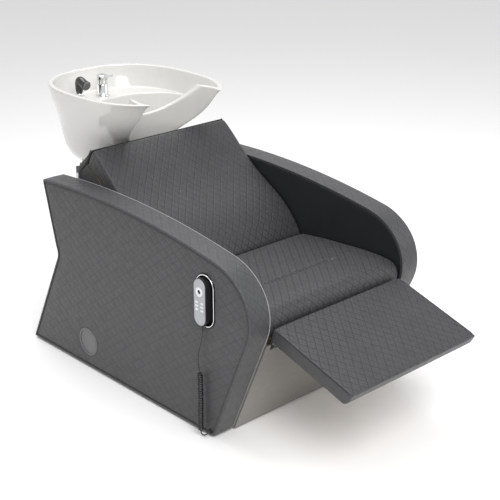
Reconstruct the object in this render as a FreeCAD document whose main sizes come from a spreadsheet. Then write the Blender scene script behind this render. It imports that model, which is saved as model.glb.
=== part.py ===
import FreeCAD, Part
import math
import os
import sys

from FreeCAD import Placement, Rotation, Vector

# Salon backwash unit: upholstered seat between two arm panels, powered footrest at the front (-Y),
# ceramic tilting basin at the back (+Y). Millimetres, +Z up, origin on the floor under the middle.

os.makedirs("parts", exist_ok=True)
doc = FreeCAD.newDocument("backwash_unit")

# ---------------------------------------------------------------- driving dimensions
DIMENSIONS = [
    # overall and arm panels
    ("half_width", 380), ("arm_thickness", 82), ("arm_face_cover", 14),
    ("arm_core_inset", 8), ("arm_foot", 5), ("glide_radius", 16), ("glide_height", 6),
    # welded base
    ("tube", 40), ("tube_wall", 3), ("rail_x", 240), ("rail_front", -280), ("rail_back", 620),
    ("frame_foot", 6), ("anchor_y", 240), ("anchor_hole_radius", 5.5),
    ("post_top", 297), ("seat_rail_height", 30), ("seat_rail_front", -440), ("seat_rail_length", 480),
    ("hinge_plate_x", 262), ("hinge_plate_thick", 6),
    # seat and backrest
    ("seat_half_width", 295), ("seat_board_thick", 18), ("seat_under", 345), ("seat_board_front", -452),
    ("seat_board_length", 480), ("lever_notch_width", 22), ("lever_notch_depth", 18),
    ("back_half_width", 295), ("rib_thick", 18), ("side_cover_thick", 3.8),
    # panels between the arms
    ("panel_half_width", 294),
    # footrest
    ("hinge_y", -478), ("hinge_z", 348), ("footrest_slope", 17.05), ("footrest_half_width", 286),
    ("footrest_length", 334), ("footrest_thick", 51), ("footrest_board_thick", 12),
    ("hinge_shaft_radius", 7), ("running_clearance", 0.05), ("footrest_fold", 68),
    # lift drive
    ("lever_drop", 60), ("lever_thick", 8), ("lift_pin_radius", 6), ("lift_slot_side", 2.5),
    ("rod_radius", 9), ("drive_tube_radius", 17),
    # basin carrier
    ("tilt_y", 620), ("tilt_z", 592), ("tilt_pin_radius", 10), ("column_y", 385), ("column_size", 80),
    ("column_top", 566), ("carrier_half_width", 165), ("fork_depth", 36), ("basin_foot_z", 628),
    # basin
    ("rim_z", 922), ("rim_half_width", 264), ("rim_front", 178), ("rim_back", 819), ("basin_wall", 15),
    ("deck_z", 840), ("neck_radius", 160), ("neck_lip_z", 826),
    ("scoop_radius", 155.5), ("drain_y", 560), ("drain_radius", 24),
    # taps and hoses
    ("mixer_x", 6), ("mixer_y", 700), ("shower_x", -92), ("shower_y", 708), ("hose_radius", 6),
    ("drain_hose_radius", 20),
    # handset
    ("handset_y", -297), ("handset_z", 460), ("handset_length", 154), ("handset_width", 52),
    ("handset_face_x", -398.5), ("holder_y", -304), ("holder_z", 462), ("holder_length", 173),
    ("holder_width", 80),
    # cords
    ("lead_radius", 2), ("curl_radius", 9.5), ("gland_y", -317), ("gland_z", 21), ("gland_radius", 7),
    # access port
    ("port_y", 320), ("port_z", 103), ("port_radius", 48), ("cap_radius", 43),
]

sheet = doc.addObject("Spreadsheet::Sheet", "sizes")
for row, (alias, value) in enumerate(DIMENSIONS, start=1):
    sheet.set("A%d" % row, alias)
    sheet.set("B%d" % row, str(value))
    sheet.setAlias("B%d" % row, alias)
doc.recompute()


def size(alias):
    """The value of one driving dimension."""
    return float(sheet.get(alias))


# ---------------------------------------------------------------- helpers
def bind(obj, prop, expression):
    obj.setExpression(prop, str(expression).replace("$", "sizes."))


def place(obj, at):
    for axis, expression in zip("xyz", at):
        bind(obj, "Placement.Base." + axis, expression)


def box(name, lengths, at):
    obj = doc.addObject("Part::Box", name)
    for prop, expression in zip(("Length", "Width", "Height"), lengths):
        bind(obj, prop, expression)
    place(obj, at)
    return obj


TURN_TO = {"x": Rotation(Vector(0, 1, 0), 90), "y": Rotation(Vector(1, 0, 0), -90), "z": Rotation()}


def cylinder(name, radius, length, at, along="z"):
    obj = doc.addObject("Part::Cylinder", name)
    bind(obj, "Radius", radius)
    bind(obj, "Height", length)
    obj.Placement.Rotation = TURN_TO[along]
    place(obj, at)
    return obj


def cone(name, low_radius, high_radius, length, at, along="z"):
    obj = doc.addObject("Part::Cone", name)
    bind(obj, "Radius1", low_radius)
    bind(obj, "Radius2", high_radius)
    bind(obj, "Height", length)
    obj.Placement.Rotation = TURN_TO[along]
    place(obj, at)
    return obj


def cut(name, base, tool):
    obj = doc.addObject("Part::Cut", name)
    obj.Base = base
    obj.Tool = tool
    return obj


def fuse(name, pieces):
    obj = doc.addObject("Part::MultiFuse", name)
    obj.Shapes = pieces
    obj.Refine = True
    return obj


def group(name, pieces):
    """Separate solids that share one name."""
    obj = doc.addObject("Part::Compound", name)
    obj.Links = pieces
    return obj


def line(start, end):
    return Part.LineSegment(Vector(start[0], start[1], 0), Vector(end[0], end[1], 0))


def polygon(points):
    return [line(p, q) for p, q in zip(points, points[1:] + points[:1])]


def arc_on(start, direction, end):
    """An arc that leaves start along direction and reaches end; also its direction there."""
    p = Vector(start[0], start[1], 0)
    q = Vector(end[0], end[1], 0)
    d = Vector(direction[0], direction[1], 0).normalize()
    chord = q - p
    across = Vector(-d.y, d.x, 0)
    radius = chord.dot(chord) / (2 * chord.dot(across))
    centre = p + across * radius
    unit = Vector(chord).normalize()
    middle = centre + ((p + q) * 0.5 - centre).normalize() * abs(radius)
    leaving = unit * (2 * unit.dot(d)) - d
    return Part.Arc(p, middle, q), (leaving.x, leaving.y)


def stadium(centre, length, width):
    """An upright outline with half-round ends."""
    u, v = centre
    r = width / 2
    run = length / 2 - r
    return [
        line((u - r, v - run), (u - r, v + run)),
        Part.Arc(Vector(u - r, v + run, 0), Vector(u, v + run + r, 0), Vector(u + r, v + run, 0)),
        line((u + r, v + run), (u + r, v - run)),
        Part.Arc(Vector(u + r, v - run, 0), Vector(u, v - run - r, 0), Vector(u - r, v - run, 0)),
    ]


def sketch_yz(name, edges):
    """A free sketch in the YZ plane: its x runs along Y and its y along Z."""
    obj = doc.addObject("Sketcher::SketchObject", name)
    obj.Placement = Placement(Vector(), Rotation(Vector(1, 1, 1), 120))
    obj.addGeometry(edges, False)
    return obj


def extrude_x(name, sketch, low_x, length):
    obj = doc.addObject("Part::Extrusion", name)
    obj.Base = sketch
    obj.DirMode = "Custom"
    obj.Dir = Vector(1, 0, 0)
    obj.Solid = True
    bind(obj, "LengthFwd", length)
    bind(obj, "Placement.Base.x", low_x)
    return obj


def body_prism(name, role, edges, length, at=("0", "0", "0"), rotation=Rotation()):
    """A PartDesign body: one closed outline on an origin plane, padded along its normal."""
    body = doc.addObject("PartDesign::Body", name)
    doc.recompute()
    plane = [f for f in body.Origin.OriginFeatures if f.Role == role][0]
    sketch = body.newObject("Sketcher::SketchObject", name + "_outline")
    sketch.AttachmentSupport = [(plane, "")]
    sketch.MapMode = "FlatFace"
    sketch.addGeometry(edges, False)
    pad = body.newObject("PartDesign::Pad", name + "_pad")
    pad.Profile = sketch
    bind(pad, "Length", length)
    body.Placement.Rotation = rotation
    place(body, at)
    body.Tip = pad
    doc.recompute()
    return body


def pocket_in(body, edges, depth, offset, reverse):
    """A pocket cut from an outline on the same plane as the body's pad, moved along its normal."""
    first = [o for o in body.Group if o.TypeId == "Sketcher::SketchObject"][0]
    sketch = body.newObject("Sketcher::SketchObject", body.Name + "_recess")
    sketch.AttachmentSupport = first.AttachmentSupport
    sketch.MapMode = "FlatFace"
    bind(sketch, "AttachmentOffset.Base.z", offset)
    sketch.addGeometry(edges, False)
    pocket = body.newObject("PartDesign::Pocket", body.Name + "_pocket")
    pocket.Profile = sketch
    bind(pocket, "Length", depth)
    pocket.Reversed = reverse
    before = body.Shape.Volume
    body.Tip = pocket
    doc.recompute()
    if body.Shape.Volume > before - 1:
        sys.exit("the pocket in %s cuts nothing" % body.Name)
    return body


def feature(name, shape):
    obj = doc.addObject("Part::Feature", name)
    obj.Shape = shape
    return obj


def tube_path(points):
    """Straight runs joined by tangent arcs; prints the radii."""
    pts = [Vector(*p) for p in points]
    edges = []
    radii = []
    last = pts[0]
    for a, b, c in zip(pts, pts[1:], pts[2:]):
        into = (b - a).normalize()
        out = (c - b).normalize()
        turn = math.acos(max(-1, min(1, into.dot(out))))
        reach = 0.45 * min((b - a).Length, (c - b).Length)
        radius = reach / math.tan(turn / 2)
        start = b - into * reach
        end = b + out * reach
        centre = b + (out - into).normalize() * (radius / math.cos(turn / 2))
        middle = centre + (b - centre).normalize() * radius
        edges.append(Part.LineSegment(last, start).toShape())
        edges.append(Part.Arc(start, middle, end).toShape())
        radii.append(round(radius, 1))
        last = end
    edges.append(Part.LineSegment(last, pts[-1]).toShape())
    return Part.Wire(edges), radii


def tube(name, points, radius):
    path, radii = tube_path(points)
    start = Vector(*points[0])
    along = Vector(*points[1]) - start
    ring = Part.Wire(Part.Circle(start, along, radius).toShape())
    solid = path.makePipeShell([ring], True, False, 2)
    expected = math.pi * radius ** 2 * path.Length
    if abs(solid.Volume - expected) > 0.02 * expected:
        sys.exit("%s has the wrong volume" % name)
    print(name, "length", round(path.Length), "radii", radii)
    return feature(name, solid)


# ---------------------------------------------------------------- arm panels
ARM_FRONT_RISE = 374
ARM_NOSE = (-448, 550)
ARM_SHOULDER = (-347, 599)
ARM_TOP_BACK = (545, 643)
ARM_WAIST_TOP = (487, 408)
ARM_WAIST = (480, 382)
ARM_WAIST_LOW = (489, 360)
ARM_BACK_FOOT = (668, 5)


def arm_outline():
    """The side view of an arm panel, from the front foot round the nose to the back foot."""
    front_lean = (-139, 330)
    foot = (-333, size("arm_foot"))
    rise = ARM_FRONT_RISE - foot[1]
    chin = (foot[0] + front_lean[0] * rise / front_lean[1], ARM_FRONT_RISE)
    edges = [line(foot, chin)]
    start, direction = chin, front_lean
    for end in (ARM_NOSE, ARM_SHOULDER, ARM_TOP_BACK):
        arc, direction = arc_on(start, direction, end)
        edges.append(arc)
        start = end
    edges.append(line(ARM_TOP_BACK, ARM_WAIST_TOP))
    edges.append(Part.Arc(*[Vector(y, z, 0) for y, z in (ARM_WAIST_TOP, ARM_WAIST, ARM_WAIST_LOW)]))
    edges.append(line(ARM_WAIST_LOW, ARM_BACK_FOOT))
    edges.append(line(ARM_BACK_FOOT, foot))
    return edges


arm_sketch = sketch_yz("arm_outline", arm_outline())
arm_inner_sketch = doc.addObject("Part::Offset2D", "arm_inner_outline")
arm_inner_sketch.Source = arm_sketch
bind(arm_inner_sketch, "Value", "-$arm_core_inset")

holder_hole_sketch = sketch_yz(
    "holder_hole_outline",
    stadium((size("holder_y"), size("holder_z")), size("holder_length"), size("holder_width")),
)


def arm_panel(side, sign):
    """Core, two padded face covers and the band round the edge. sign is -1 for the sitter's right."""
    def low(distance, thickness):
        """The lowest x of a layer that starts this far in from the outer face."""
        if sign < 0:
            return "-$half_width + %s" % distance
        return "$half_width - (%s) - (%s)" % (distance, thickness)

    core_thick = "$arm_thickness - 2 * $arm_face_cover"
    core = extrude_x(side + "_arm_core_blank", arm_inner_sketch, low("$arm_face_cover", core_thick),
                     core_thick)
    outer = extrude_x(side + "_arm_outer_blank", arm_inner_sketch, low("0", "$arm_face_cover"),
                      "$arm_face_cover")
    inset = "$arm_thickness - $arm_face_cover"
    extrude_x(side + "_arm_inner_cover", arm_inner_sketch, low(inset, "$arm_face_cover"), "$arm_face_cover")
    ring = extrude_x(side + "_arm_band_blank", arm_sketch, low("0", "$arm_thickness"), "$arm_thickness")
    hole = extrude_x(side + "_arm_band_hole", arm_inner_sketch, low("0", "$arm_thickness"),
                     "$arm_thickness")
    cut(side + "_arm_edge_band", ring, hole)
    return core, outer


left_core, left_outer = arm_panel("left", 1)
left_core.Label = "left_arm_core"
left_outer.Label = "left_arm_outer_cover"

right_core, right_outer = arm_panel("right", -1)
port_hole = cylinder("port_hole", "$port_radius", "30", ("-$half_width - 1", "$port_y", "$port_z"), "x")
port_hole_core = cylinder("port_hole_core", "$port_radius", "30", ("-$half_width - 1", "$port_y",
                                                                   "$port_z"), "x")
holder_hole = extrude_x("holder_hole", holder_hole_sketch, "-$half_width - 1", "26")
holder_hole_core = extrude_x("holder_hole_core", holder_hole_sketch, "-$half_width - 1", "26")
gland_hole = cylinder(
    "gland_hole", "$gland_radius", "40", ("-$half_width - 1", "$gland_y", "$gland_z"), "x"
)
gland_hole_core = cylinder(
    "gland_hole_core", "$gland_radius", "40", ("-$half_width - 1", "$gland_y", "$gland_z"), "x"
)
cut("right_arm_outer_cover", right_outer, fuse("outer_cover_holes", [port_hole, holder_hole, gland_hole]))
cut("right_arm_core", right_core, fuse("core_holes", [port_hole_core, holder_hole_core, gland_hole_core]))

glides = []
for glide_x in (-339, 339):
    for glide_y in (-305, 0, 315, 635):
        glides.append(
            cylinder(
                "glide_%d" % len(glides), "$glide_radius", "$glide_height - 1", (glide_x, glide_y, "0")
            )
        )
group("floor_glides", glides)

# ---------------------------------------------------------------- welded base and seat frame


def box_tube(name, length, at, along):
    """A square tube with open ends."""
    lengths = {"x": (length, "$tube", "$tube"), "y": ("$tube", length, "$tube"), "z": ("$tube", "$tube",
                                                                                       length)}
    inner = "$tube - 2 * $tube_wall"
    bore = {"x": (length + " + 2", inner, inner), "y": (inner, length + " + 2", inner),
            "z": (inner, inner, length + " + 2")}
    shift = [" + $tube_wall"] * 3
    shift["xyz".index(along)] = " - 1"
    outer = box(name + "_outside", lengths[along], at)
    inside = box(name + "_inside", bore[along], [str(a) + s for a, s in zip(at, shift)])
    return cut(name, outer, inside)


rail_length = "$rail_back - $rail_front"
rails = []
for side, rail_at in (("right", "-$rail_x - $tube"), ("left", "$rail_x")):
    rail = box_tube(side + "_floor_rail_blank", rail_length, (rail_at, "$rail_front", "$frame_foot"), "y")
    holes = []
    for end, hole_y in (("front", "-$anchor_y"), ("back", "$anchor_y")):
        hole_x = rail_at + " + $tube / 2"
        holes.append(
            cylinder("%s_%s_anchor_hole" % (side, end), "$anchor_hole_radius", "80", (hole_x, hole_y, "0"))
        )
    rails.append(cut(side + "_floor_rail", rail, fuse(side + "_anchor_holes", holes)))
for index, cross_y in enumerate(("$rail_front", "$column_y - $tube / 2", "$rail_back - $tube")):
    at = ("-$rail_x", cross_y, "$frame_foot")
    rails.append(box_tube("cross_tube_%d" % index, "2 * $rail_x", at, "x"))
group("floor_frame", rails)

upright = []
for side, post_at in (("right", "-$rail_x - $tube"), ("left", "$rail_x")):
    foot_z = "$frame_foot + $tube"
    upright.append(
        box_tube(side + "_front_post", "$post_top - " + "(%s)" % foot_z, (post_at, "$rail_front", foot_z),
                 "z")
    )
    upright.append(
        box(side + "_seat_rail", ("$tube", "$seat_rail_length", "$seat_rail_height"),
            (post_at, "$seat_rail_front", "$post_top"))
    )
    upright.append(
        box_tube(side + "_rear_post", "$post_top - " + "(%s)" % foot_z, (post_at, "-10", foot_z), "z")
    )

HINGE_PLATE = [(-440, 299), (-458, 325), (-476, 325), (-487, 337), (-488.5, 350), (-480, 360), (-470, 360),
               (-457, 347), (-454, 326), (-440, 326)]
for side, plate_at in (("right", "-$hinge_plate_x - $hinge_plate_thick"), ("left", "$hinge_plate_x")):
    outline = sketch_yz(side + "_hinge_plate_outline", polygon(HINGE_PLATE))
    plate = extrude_x(side + "_hinge_plate_blank", outline, plate_at, "$hinge_plate_thick")
    bore = cylinder(
        side + "_hinge_bore", "$hinge_shaft_radius + $running_clearance", "$hinge_plate_thick + 2",
        (plate_at + " - 1", "$hinge_y", "$hinge_z"), "x",
    )
    upright.append(cut(side + "_hinge_plate", plate, bore))
group("seat_subframe", upright)

# ---------------------------------------------------------------- seat and backrest
seat_board_blank = box(
    "seat_board_blank", ("2 * $seat_half_width", "$seat_board_length", "$seat_board_thick"),
    ("-$seat_half_width", "$seat_board_front", "$seat_under - $seat_board_thick"),
)
lever_notch = box("lever_notch", ("$lever_notch_width", "2 * $lever_notch_depth", "2 * $seat_board_thick"),
                  ("-$lever_notch_width / 2", "$seat_board_front - $lever_notch_depth",
                   "$seat_under - 1.5 * $seat_board_thick"))
cut("seat_board", seat_board_blank, lever_notch)

SEAT_PROFILE = [
    (-46, 345), (-46, 434), (-150, 446), (-326, 457), (-420, 458), (-468, 451), (-488, 432), (-492, 409),
    (-487, 384), (-455, 374), (-452, 345),
]
body_prism("seat_cushion", "YZ_Plane", polygon(SEAT_PROFILE), "2 * $seat_half_width",
           ("-$seat_half_width", "0", "0"))

BACK_FACE = [(-42, 433), (-14, 474), (36, 525), (123, 582), (183, 619), (245, 668), (316, 733), (361, 767)]


def back_front_curve():
    curve = Part.BSplineCurve()
    curve.interpolate([Vector(y, z, 0) for y, z in BACK_FACE])
    return curve


back_edges = [
    back_front_curve(),
    line((361, 767), (392, 715)),
    line((392, 715), (230, 570)),
    line((230, 570), (60, 462)),
    line((60, 462), (10, 345)),
    line((10, 345), (-42, 345)),
    line((-42, 345), (-42, 433)),
]
body_prism("backrest_cushion", "YZ_Plane", back_edges, "2 * $back_half_width", ("-$back_half_width", "0",
                                                                                "0"))

REAR_PAD = [(364, 768), (452, 688), (455, 650), (455, 590), (431, 590), (431, 676), (396, 713)]
body_prism("backrest_rear_pad", "YZ_Plane", polygon(REAR_PAD), "2 * $back_half_width",
           ("-$back_half_width", "0", "0"))

RIB = [(62, 460), (231, 568), (391, 711), (429, 675), (429, 590), (320, 480), (120, 345), (12, 345)]
ribs = []
for index, rib_x in enumerate(("-$back_half_width + 4", "-$rib_thick / 2 - 120", "120 - $rib_thick / 2",
                               "$back_half_width - 4 - $rib_thick")):
    outline = sketch_yz("rib_outline_%d" % index, polygon(RIB))
    ribs.append(extrude_x("rib_%d" % index, outline, rib_x, "$rib_thick"))
group("backrest_ribs", ribs)
side_covers = []
for side, cover_at in (("right", "-$back_half_width"), ("left", "$back_half_width - $side_cover_thick")):
    outline = sketch_yz(side + "_side_cover_outline", polygon(RIB))
    side_covers.append(extrude_x(side + "_side_cover", outline, cover_at, "$side_cover_thick"))
group("backrest_side_covers", side_covers)

# ---------------------------------------------------------------- panels between the arms
PLINTH = [(-337, 6), (-472, 323), (-464, 323), (-329, 6)]
plinth_sheet = body_prism("plinth_sheet", "YZ_Plane", polygon(PLINTH), "2 * $panel_half_width",
                          ("-$panel_half_width", "0", "0"))
plinth_cut = cut("plinth_lower", plinth_sheet, box("plinth_slot", ("56", "120", "120"), ("-28", "-500",
                                                                                         "222")))
PLINTH_EAR = [(-471, 320.7), (-481, 344.2), (-473, 344.2), (-463, 320.7)]
ear_width = "$panel_half_width - $hinge_plate_x - $hinge_plate_thick - 6"
plinth_parts = [plinth_cut]
for side, ear_at in (("right", "-$panel_half_width"), ("left", "$hinge_plate_x + $hinge_plate_thick + 6")):
    outline = sketch_yz(side + "_ear_outline", polygon(PLINTH_EAR))
    plinth_parts.append(extrude_x(side + "_plinth_ear", outline, ear_at, ear_width))
fuse("front_plinth", plinth_parts)
SERVICE = [(655, 8), (496, 330), (486, 330), (645, 8)]
body_prism("rear_service_panel", "YZ_Plane", polygon(SERVICE), "2 * $panel_half_width",
           ("-$panel_half_width", "0", "0"))

# ---------------------------------------------------------------- footrest
# Its own frame: y runs from the rear edge to the front edge, z up from the underside.
slope = math.radians(size("footrest_slope"))
FOOTREST_REAR_TOP = (-499, 407)
drop = size("footrest_thick")
under_y = FOOTREST_REAR_TOP[0] + drop * math.sin(slope)
under_z = FOOTREST_REAR_TOP[1] - drop * math.cos(slope)
footrest_tilt = Rotation(Vector(1, 0, 0), size("footrest_slope"))
foot_len = size("footrest_length")
FOOT_SIDE = [(0, 0), (0, drop), (-foot_len, drop), (-foot_len + 8, 16), (-foot_len + 20, 0)]
cushion = body_prism(
    "footrest_cushion", "YZ_Plane", polygon(FOOT_SIDE), "2 * $footrest_half_width",
    ("-$footrest_half_width", under_y, under_z), footrest_tilt,
)
board_margin = 22
BOARD_RECESS = [(12, -1), (12, size("footrest_board_thick")), (-foot_len + 40,
                                                               size("footrest_board_thick")),
                (-foot_len + 40, -1)]
pocket_in(cushion, polygon([(y, z) for y, z in BOARD_RECESS]),
          "2 * $footrest_half_width - 2 * %d" % board_margin,
          str(board_margin), True)


def in_footrest(y, z):
    """A point of the footrest's own frame, in the unit's frame."""
    return (under_y + y * math.cos(slope) - z * math.sin(slope),
            under_z + y * math.sin(slope) + z * math.cos(slope))


board = body_prism(
    "footrest_board_plate", "YZ_Plane",
    polygon([(-4, 0), (-4, size("footrest_board_thick")), (-foot_len + 40, size("footrest_board_thick")),
             (-foot_len + 40, 0)]),
    "2 * $footrest_half_width - 2 * %d" % board_margin,
    ("-$footrest_half_width + %d" % board_margin, under_y, under_z), footrest_tilt,
)
LUG = [in_footrest(-70, 0), in_footrest(-8, 0), (-466, 344), (-470, 337), (-479, 334.5), (-489, 338),
       in_footrest(-70, -12)]
lugs = [board]
for side, lug_at in (("right", "-$hinge_plate_x + 24"), ("left", "$hinge_plate_x - 32")):
    outline = sketch_yz(side + "_lug_outline", polygon(LUG))
    lugs.append(extrude_x(side + "_lug", outline, lug_at, "8"))
lug_bore = cylinder("lug_bore", "$hinge_shaft_radius", "2 * $footrest_half_width",
                    ("-$footrest_half_width", "$hinge_y", "$hinge_z"), "x")
cut("footrest_board", fuse("footrest_board_blank", lugs), lug_bore)
cylinder("footrest_hinge_shaft", "$hinge_shaft_radius", "2 * $hinge_plate_x + 20",
         ("-$hinge_plate_x - 10", "$hinge_y", "$hinge_z"), "x")

# ---------------------------------------------------------------- lift drive
# The lever hangs from the hinge shaft. A cross pin on the rod rides in its slot, half the fold
# forward of straight down when the footrest is up and half behind when it is folded.
half_fold = math.radians(size("footrest_fold") / 2)
lever_drop = size("lever_drop")
pin_z = size("hinge_z") - lever_drop
pin_reach = lever_drop * math.tan(half_fold)
pin_y = size("hinge_y") - pin_reach
print("rod stroke", round(2 * pin_reach, 2), "per radian", round(2 * pin_reach / (2 * half_fold), 4))
slot_near = lever_drop - 3
slot_far = lever_drop / math.cos(half_fold) + 3
slot_half = size("lift_pin_radius") + size("lift_slot_side")
lever_tip = slot_far
lever_edges = [
    line((-11, 0), (-15, -lever_tip)),
    Part.Arc(Vector(-15, -lever_tip, 0), Vector(0, -lever_tip - 15, 0), Vector(15, -lever_tip, 0)),
    line((15, -lever_tip), (11, 0)),
    Part.Arc(Vector(11, 0, 0), Vector(0, 11, 0), Vector(-11, 0, 0)),
]
lever_turn = Rotation(Vector(1, 0, 0), -math.degrees(half_fold))
lever = body_prism("footrest_lift_lever_plate", "YZ_Plane", lever_edges, "$lever_thick",
                   ("-$lever_thick / 2", "$hinge_y", "$hinge_z"), lever_turn)
slot_edges = stadium((0, -(slot_near + slot_far) / 2), slot_far - slot_near + 2 * slot_half, 2 * slot_half)
pocket_in(lever, slot_edges, "$lever_thick + 2", "-1", True)
lever_bore = cylinder("lever_bore", "$hinge_shaft_radius", "40", ("-20", "$hinge_y", "$hinge_z"), "x")
cut("footrest_lift_lever", lever, lever_bore)

tube_front = -388
fork_back = pin_y + 34
fork = [
    cylinder("rod_bar", "$rod_radius", tube_front + 60 - fork_back, ("0", fork_back, pin_z), "y"),
    box("rod_bridge", ("30", "8", "24"), ("-15", fork_back, pin_z - 12)),
    box("rod_cheek_right", ("7", "48", "24"), ("-15", pin_y - 12, pin_z - 12)),
    box("rod_cheek_left", ("7", "48", "24"), ("8", pin_y - 12, pin_z - 12)),
    cylinder("rod_pin", "$lift_pin_radius", "36", ("-18", pin_y, pin_z), "x"),
]
fuse("lift_actuator_rod", fork)
drive_tube = cylinder("drive_tube", "$drive_tube_radius", "240", ("0", tube_front, pin_z), "y")
drive_bore = cylinder("drive_bore", "$rod_radius + 0.1", "200", ("0", tube_front - 1, pin_z), "y")
cut("lift_actuator_tube", drive_tube, drive_bore)
motor_parts = [
    box("gearbox", ("60", "60", "92"), ("-30", tube_front + 240, pin_z - 62)),
    cylinder("motor", "26", "130", ("0", tube_front + 110, pin_z - 46), "y"),
    box("rear_clevis", ("24", "50", "30"), ("-12", tube_front + 300, pin_z - 15)),
]
fuse("lift_actuator_motor", motor_parts)
control = [box("control_case", ("150", "210", "60"), ("-210", "60", "46"))]
control.append(box("power_inlet_flange", ("50", "6", "28"), ("-160", "270", "62")))
fuse("control_box", control)

# ---------------------------------------------------------------- basin carrier
column_half = "$column_size / 2"
column_back = "$column_y - " + column_half
column_parts = [
    box("column_post", ("$column_size", "$column_size", "$column_top - $frame_foot - $tube"),
        ("-" + column_half, column_back, "$frame_foot + $tube")),
    box("column_shoulder", ("220", "$column_size", "$fork_depth + 20"),
        ("-110", column_back, "$column_top - $fork_depth - 20")),
]
for index, (arm_x, wing_x, lug_x) in enumerate((("-110", "-150", "-$carrier_half_width"),
                                                ("80", "80", "$carrier_half_width - 10"))):
    column_parts.append(box("column_arm_%d" % index, ("30", "$tilt_y + 30 - $column_y", "$fork_depth"),
                            (arm_x, "$column_y", "$column_top - $fork_depth")))
    column_parts.append(box("column_wing_%d" % index, ("70", "60", "12"), (wing_x, "$tilt_y - 30",
                                                                           "$column_top - 12")))
    column_parts.append(box("column_lug_%d" % index, ("10", "60", "62"), (lug_x, "$tilt_y - 30",
                                                                          "$column_top - 12")))
column_bore = cylinder("column_bore", "$tilt_pin_radius + $running_clearance", "400",
                       ("-200", "$tilt_y", "$tilt_z"), "x")
cut("basin_column", fuse("column_blank", column_parts), column_bore)

cradle_parts = [box("cradle_plate", ("250", "150", "8"), ("-125", "$tilt_y - 105", "$basin_foot_z - 8"))]
for index, lug_x in enumerate(("-$carrier_half_width + 12", "$carrier_half_width - 22")):
    cradle_parts.append(box("cradle_lug_%d" % index, ("10", "44", "$basin_foot_z - $tilt_z + 20"),
                            (lug_x, "$tilt_y - 22", "$tilt_z - 20")))
cradle_parts.append(box("cradle_bar", ("2 * $carrier_half_width - 24", "40", "8"),
                        ("-$carrier_half_width + 12", "$tilt_y - 20", "$basin_foot_z - 8")))
cradle_cuts = [
    cylinder("cradle_bore", "$tilt_pin_radius", "400", ("-200", "$tilt_y", "$tilt_z"), "x"),
    cylinder("cradle_drain_hole", "34", "20", ("0", "$drain_y", "$basin_foot_z - 14")),
]
cut("basin_cradle", fuse("cradle_blank", cradle_parts), fuse("cradle_cuts", cradle_cuts))
group("basin_pivot_pins", [
    cylinder("pivot_pin_right", "$tilt_pin_radius", "46", ("-$carrier_half_width - 16", "$tilt_y",
                                                           "$tilt_z"), "x"),
    cylinder("pivot_pin_left", "$tilt_pin_radius", "46", ("$carrier_half_width - 26", "$tilt_y",
                                                          "$tilt_z"), "x"),
])
lever_parts = [
    cylinder("lock_hub", "15", "16", ("$carrier_half_width + 2", "$tilt_y", "$tilt_z"), "x"),
    box("lock_arm", ("8", "80", "12"), ("$carrier_half_width + 7", "$tilt_y", "$tilt_z - 6")),
]
lock_bore = cylinder("lock_bore", "$tilt_pin_radius + $running_clearance", "60",
                     ("$carrier_half_width - 5", "$tilt_y", "$tilt_z"), "x")
cut("tilt_lock_lever", fuse("lock_blank", lever_parts), lock_bore)

# ---------------------------------------------------------------- ceramic basin
# Each level of the bowl: height, front and back at the middle, half width.
OUTSIDE = [
    ("basin_foot_z", 480, 728, 128),
    (660, 466, 754, 172),
    (720, 426, 771, 200),
    (790, 326, 784, 222),
    (860, 240, 803, 248),
    ("rim_z", "rim_front", "rim_back", "rim_half_width"),
]
BOWL = [
    (650, 500, 610, 60),
    (668, 486, 630, 120),
    (720, 437, 640, 168),
    (790, 345, 645, 204),
    (842, 282, 650, 226),
]
SHALLOW = [
    (840, 284, 778, 228),
    (880, 236, 794, 239),
    (930, 192, 803, 249),
]


def number(entry):
    return size(entry) if isinstance(entry, str) else float(entry)


def egg_wire(level, power=2.5, count=24):
    """A rounded, slightly square outline at one height."""
    z, front, back, half = [number(entry) for entry in level]
    middle = (front + back) / 2
    reach = (back - front) / 2
    points = []
    for step in range(count):
        angle = 2 * math.pi * step / count
        c, s = math.cos(angle), math.sin(angle)
        x = half * math.copysign(abs(c) ** (2 / power), c)
        y = middle + reach * math.copysign(abs(s) ** (2 / power), s)
        points.append(Vector(x, y, z))
    curve = Part.BSplineCurve()
    curve.interpolate(points, PeriodicFlag=True)
    return Part.Wire(curve.toShape())


def lofted(levels):
    return Part.makeLoft([egg_wire(level) for level in levels], True, False)


outside = lofted(OUTSIDE)
neck = Part.makeCylinder(size("neck_radius"), 400, Vector(0, 60, size("neck_lip_z") + size("neck_radius")),
                         Vector(0, 1, 0))
# The recess for the neck and shoulders is an upright round hollow that leans forward; the front
# wall of the bowl follows it, one wall thickness behind.
SCOOP_FOOT = Vector(0, 308, 640)
SCOOP_LEAN = Vector(0, -math.sin(math.radians(11)), math.cos(math.radians(11)))


def scoop(radius):
    return Part.makeCylinder(radius, 700, SCOOP_FOOT - SCOOP_LEAN * 150, SCOOP_LEAN)


front_wall = scoop(size("scoop_radius") + size("basin_wall"))
solid = outside.cut(scoop(size("scoop_radius"))).cut(neck)
solid = solid.cut(lofted(BOWL).cut(front_wall)).cut(lofted(SHALLOW).cut(front_wall))
under_deck = Part.makeBox(250, 100, 200, Vector(-125, 662, 600))
drain_hole = Part.makeCylinder(size("drain_radius"), 60, Vector(0, size("drain_y"), 610))
mixer_hole = Part.makeCylinder(17, 60, Vector(size("mixer_x"), size("mixer_y"), 790))
shower_hole = Part.makeCylinder(13, 60, Vector(size("shower_x"), size("shower_y"), 790))
knob_hole = Part.makeCylinder(4.2, 60, Vector(size("shower_x"), size("shower_y") - 30, 790))
for tool in (under_deck, drain_hole, mixer_hole, shower_hole, knob_hole):
    solid = solid.cut(tool)
if len(solid.Solids) != 1:
    print("basin has", len(solid.Solids), "solids", [round(s.Volume) for s in solid.Solids])
    solid = max(solid.Solids, key=lambda s: s.Volume)
feature("basin", solid)

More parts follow.
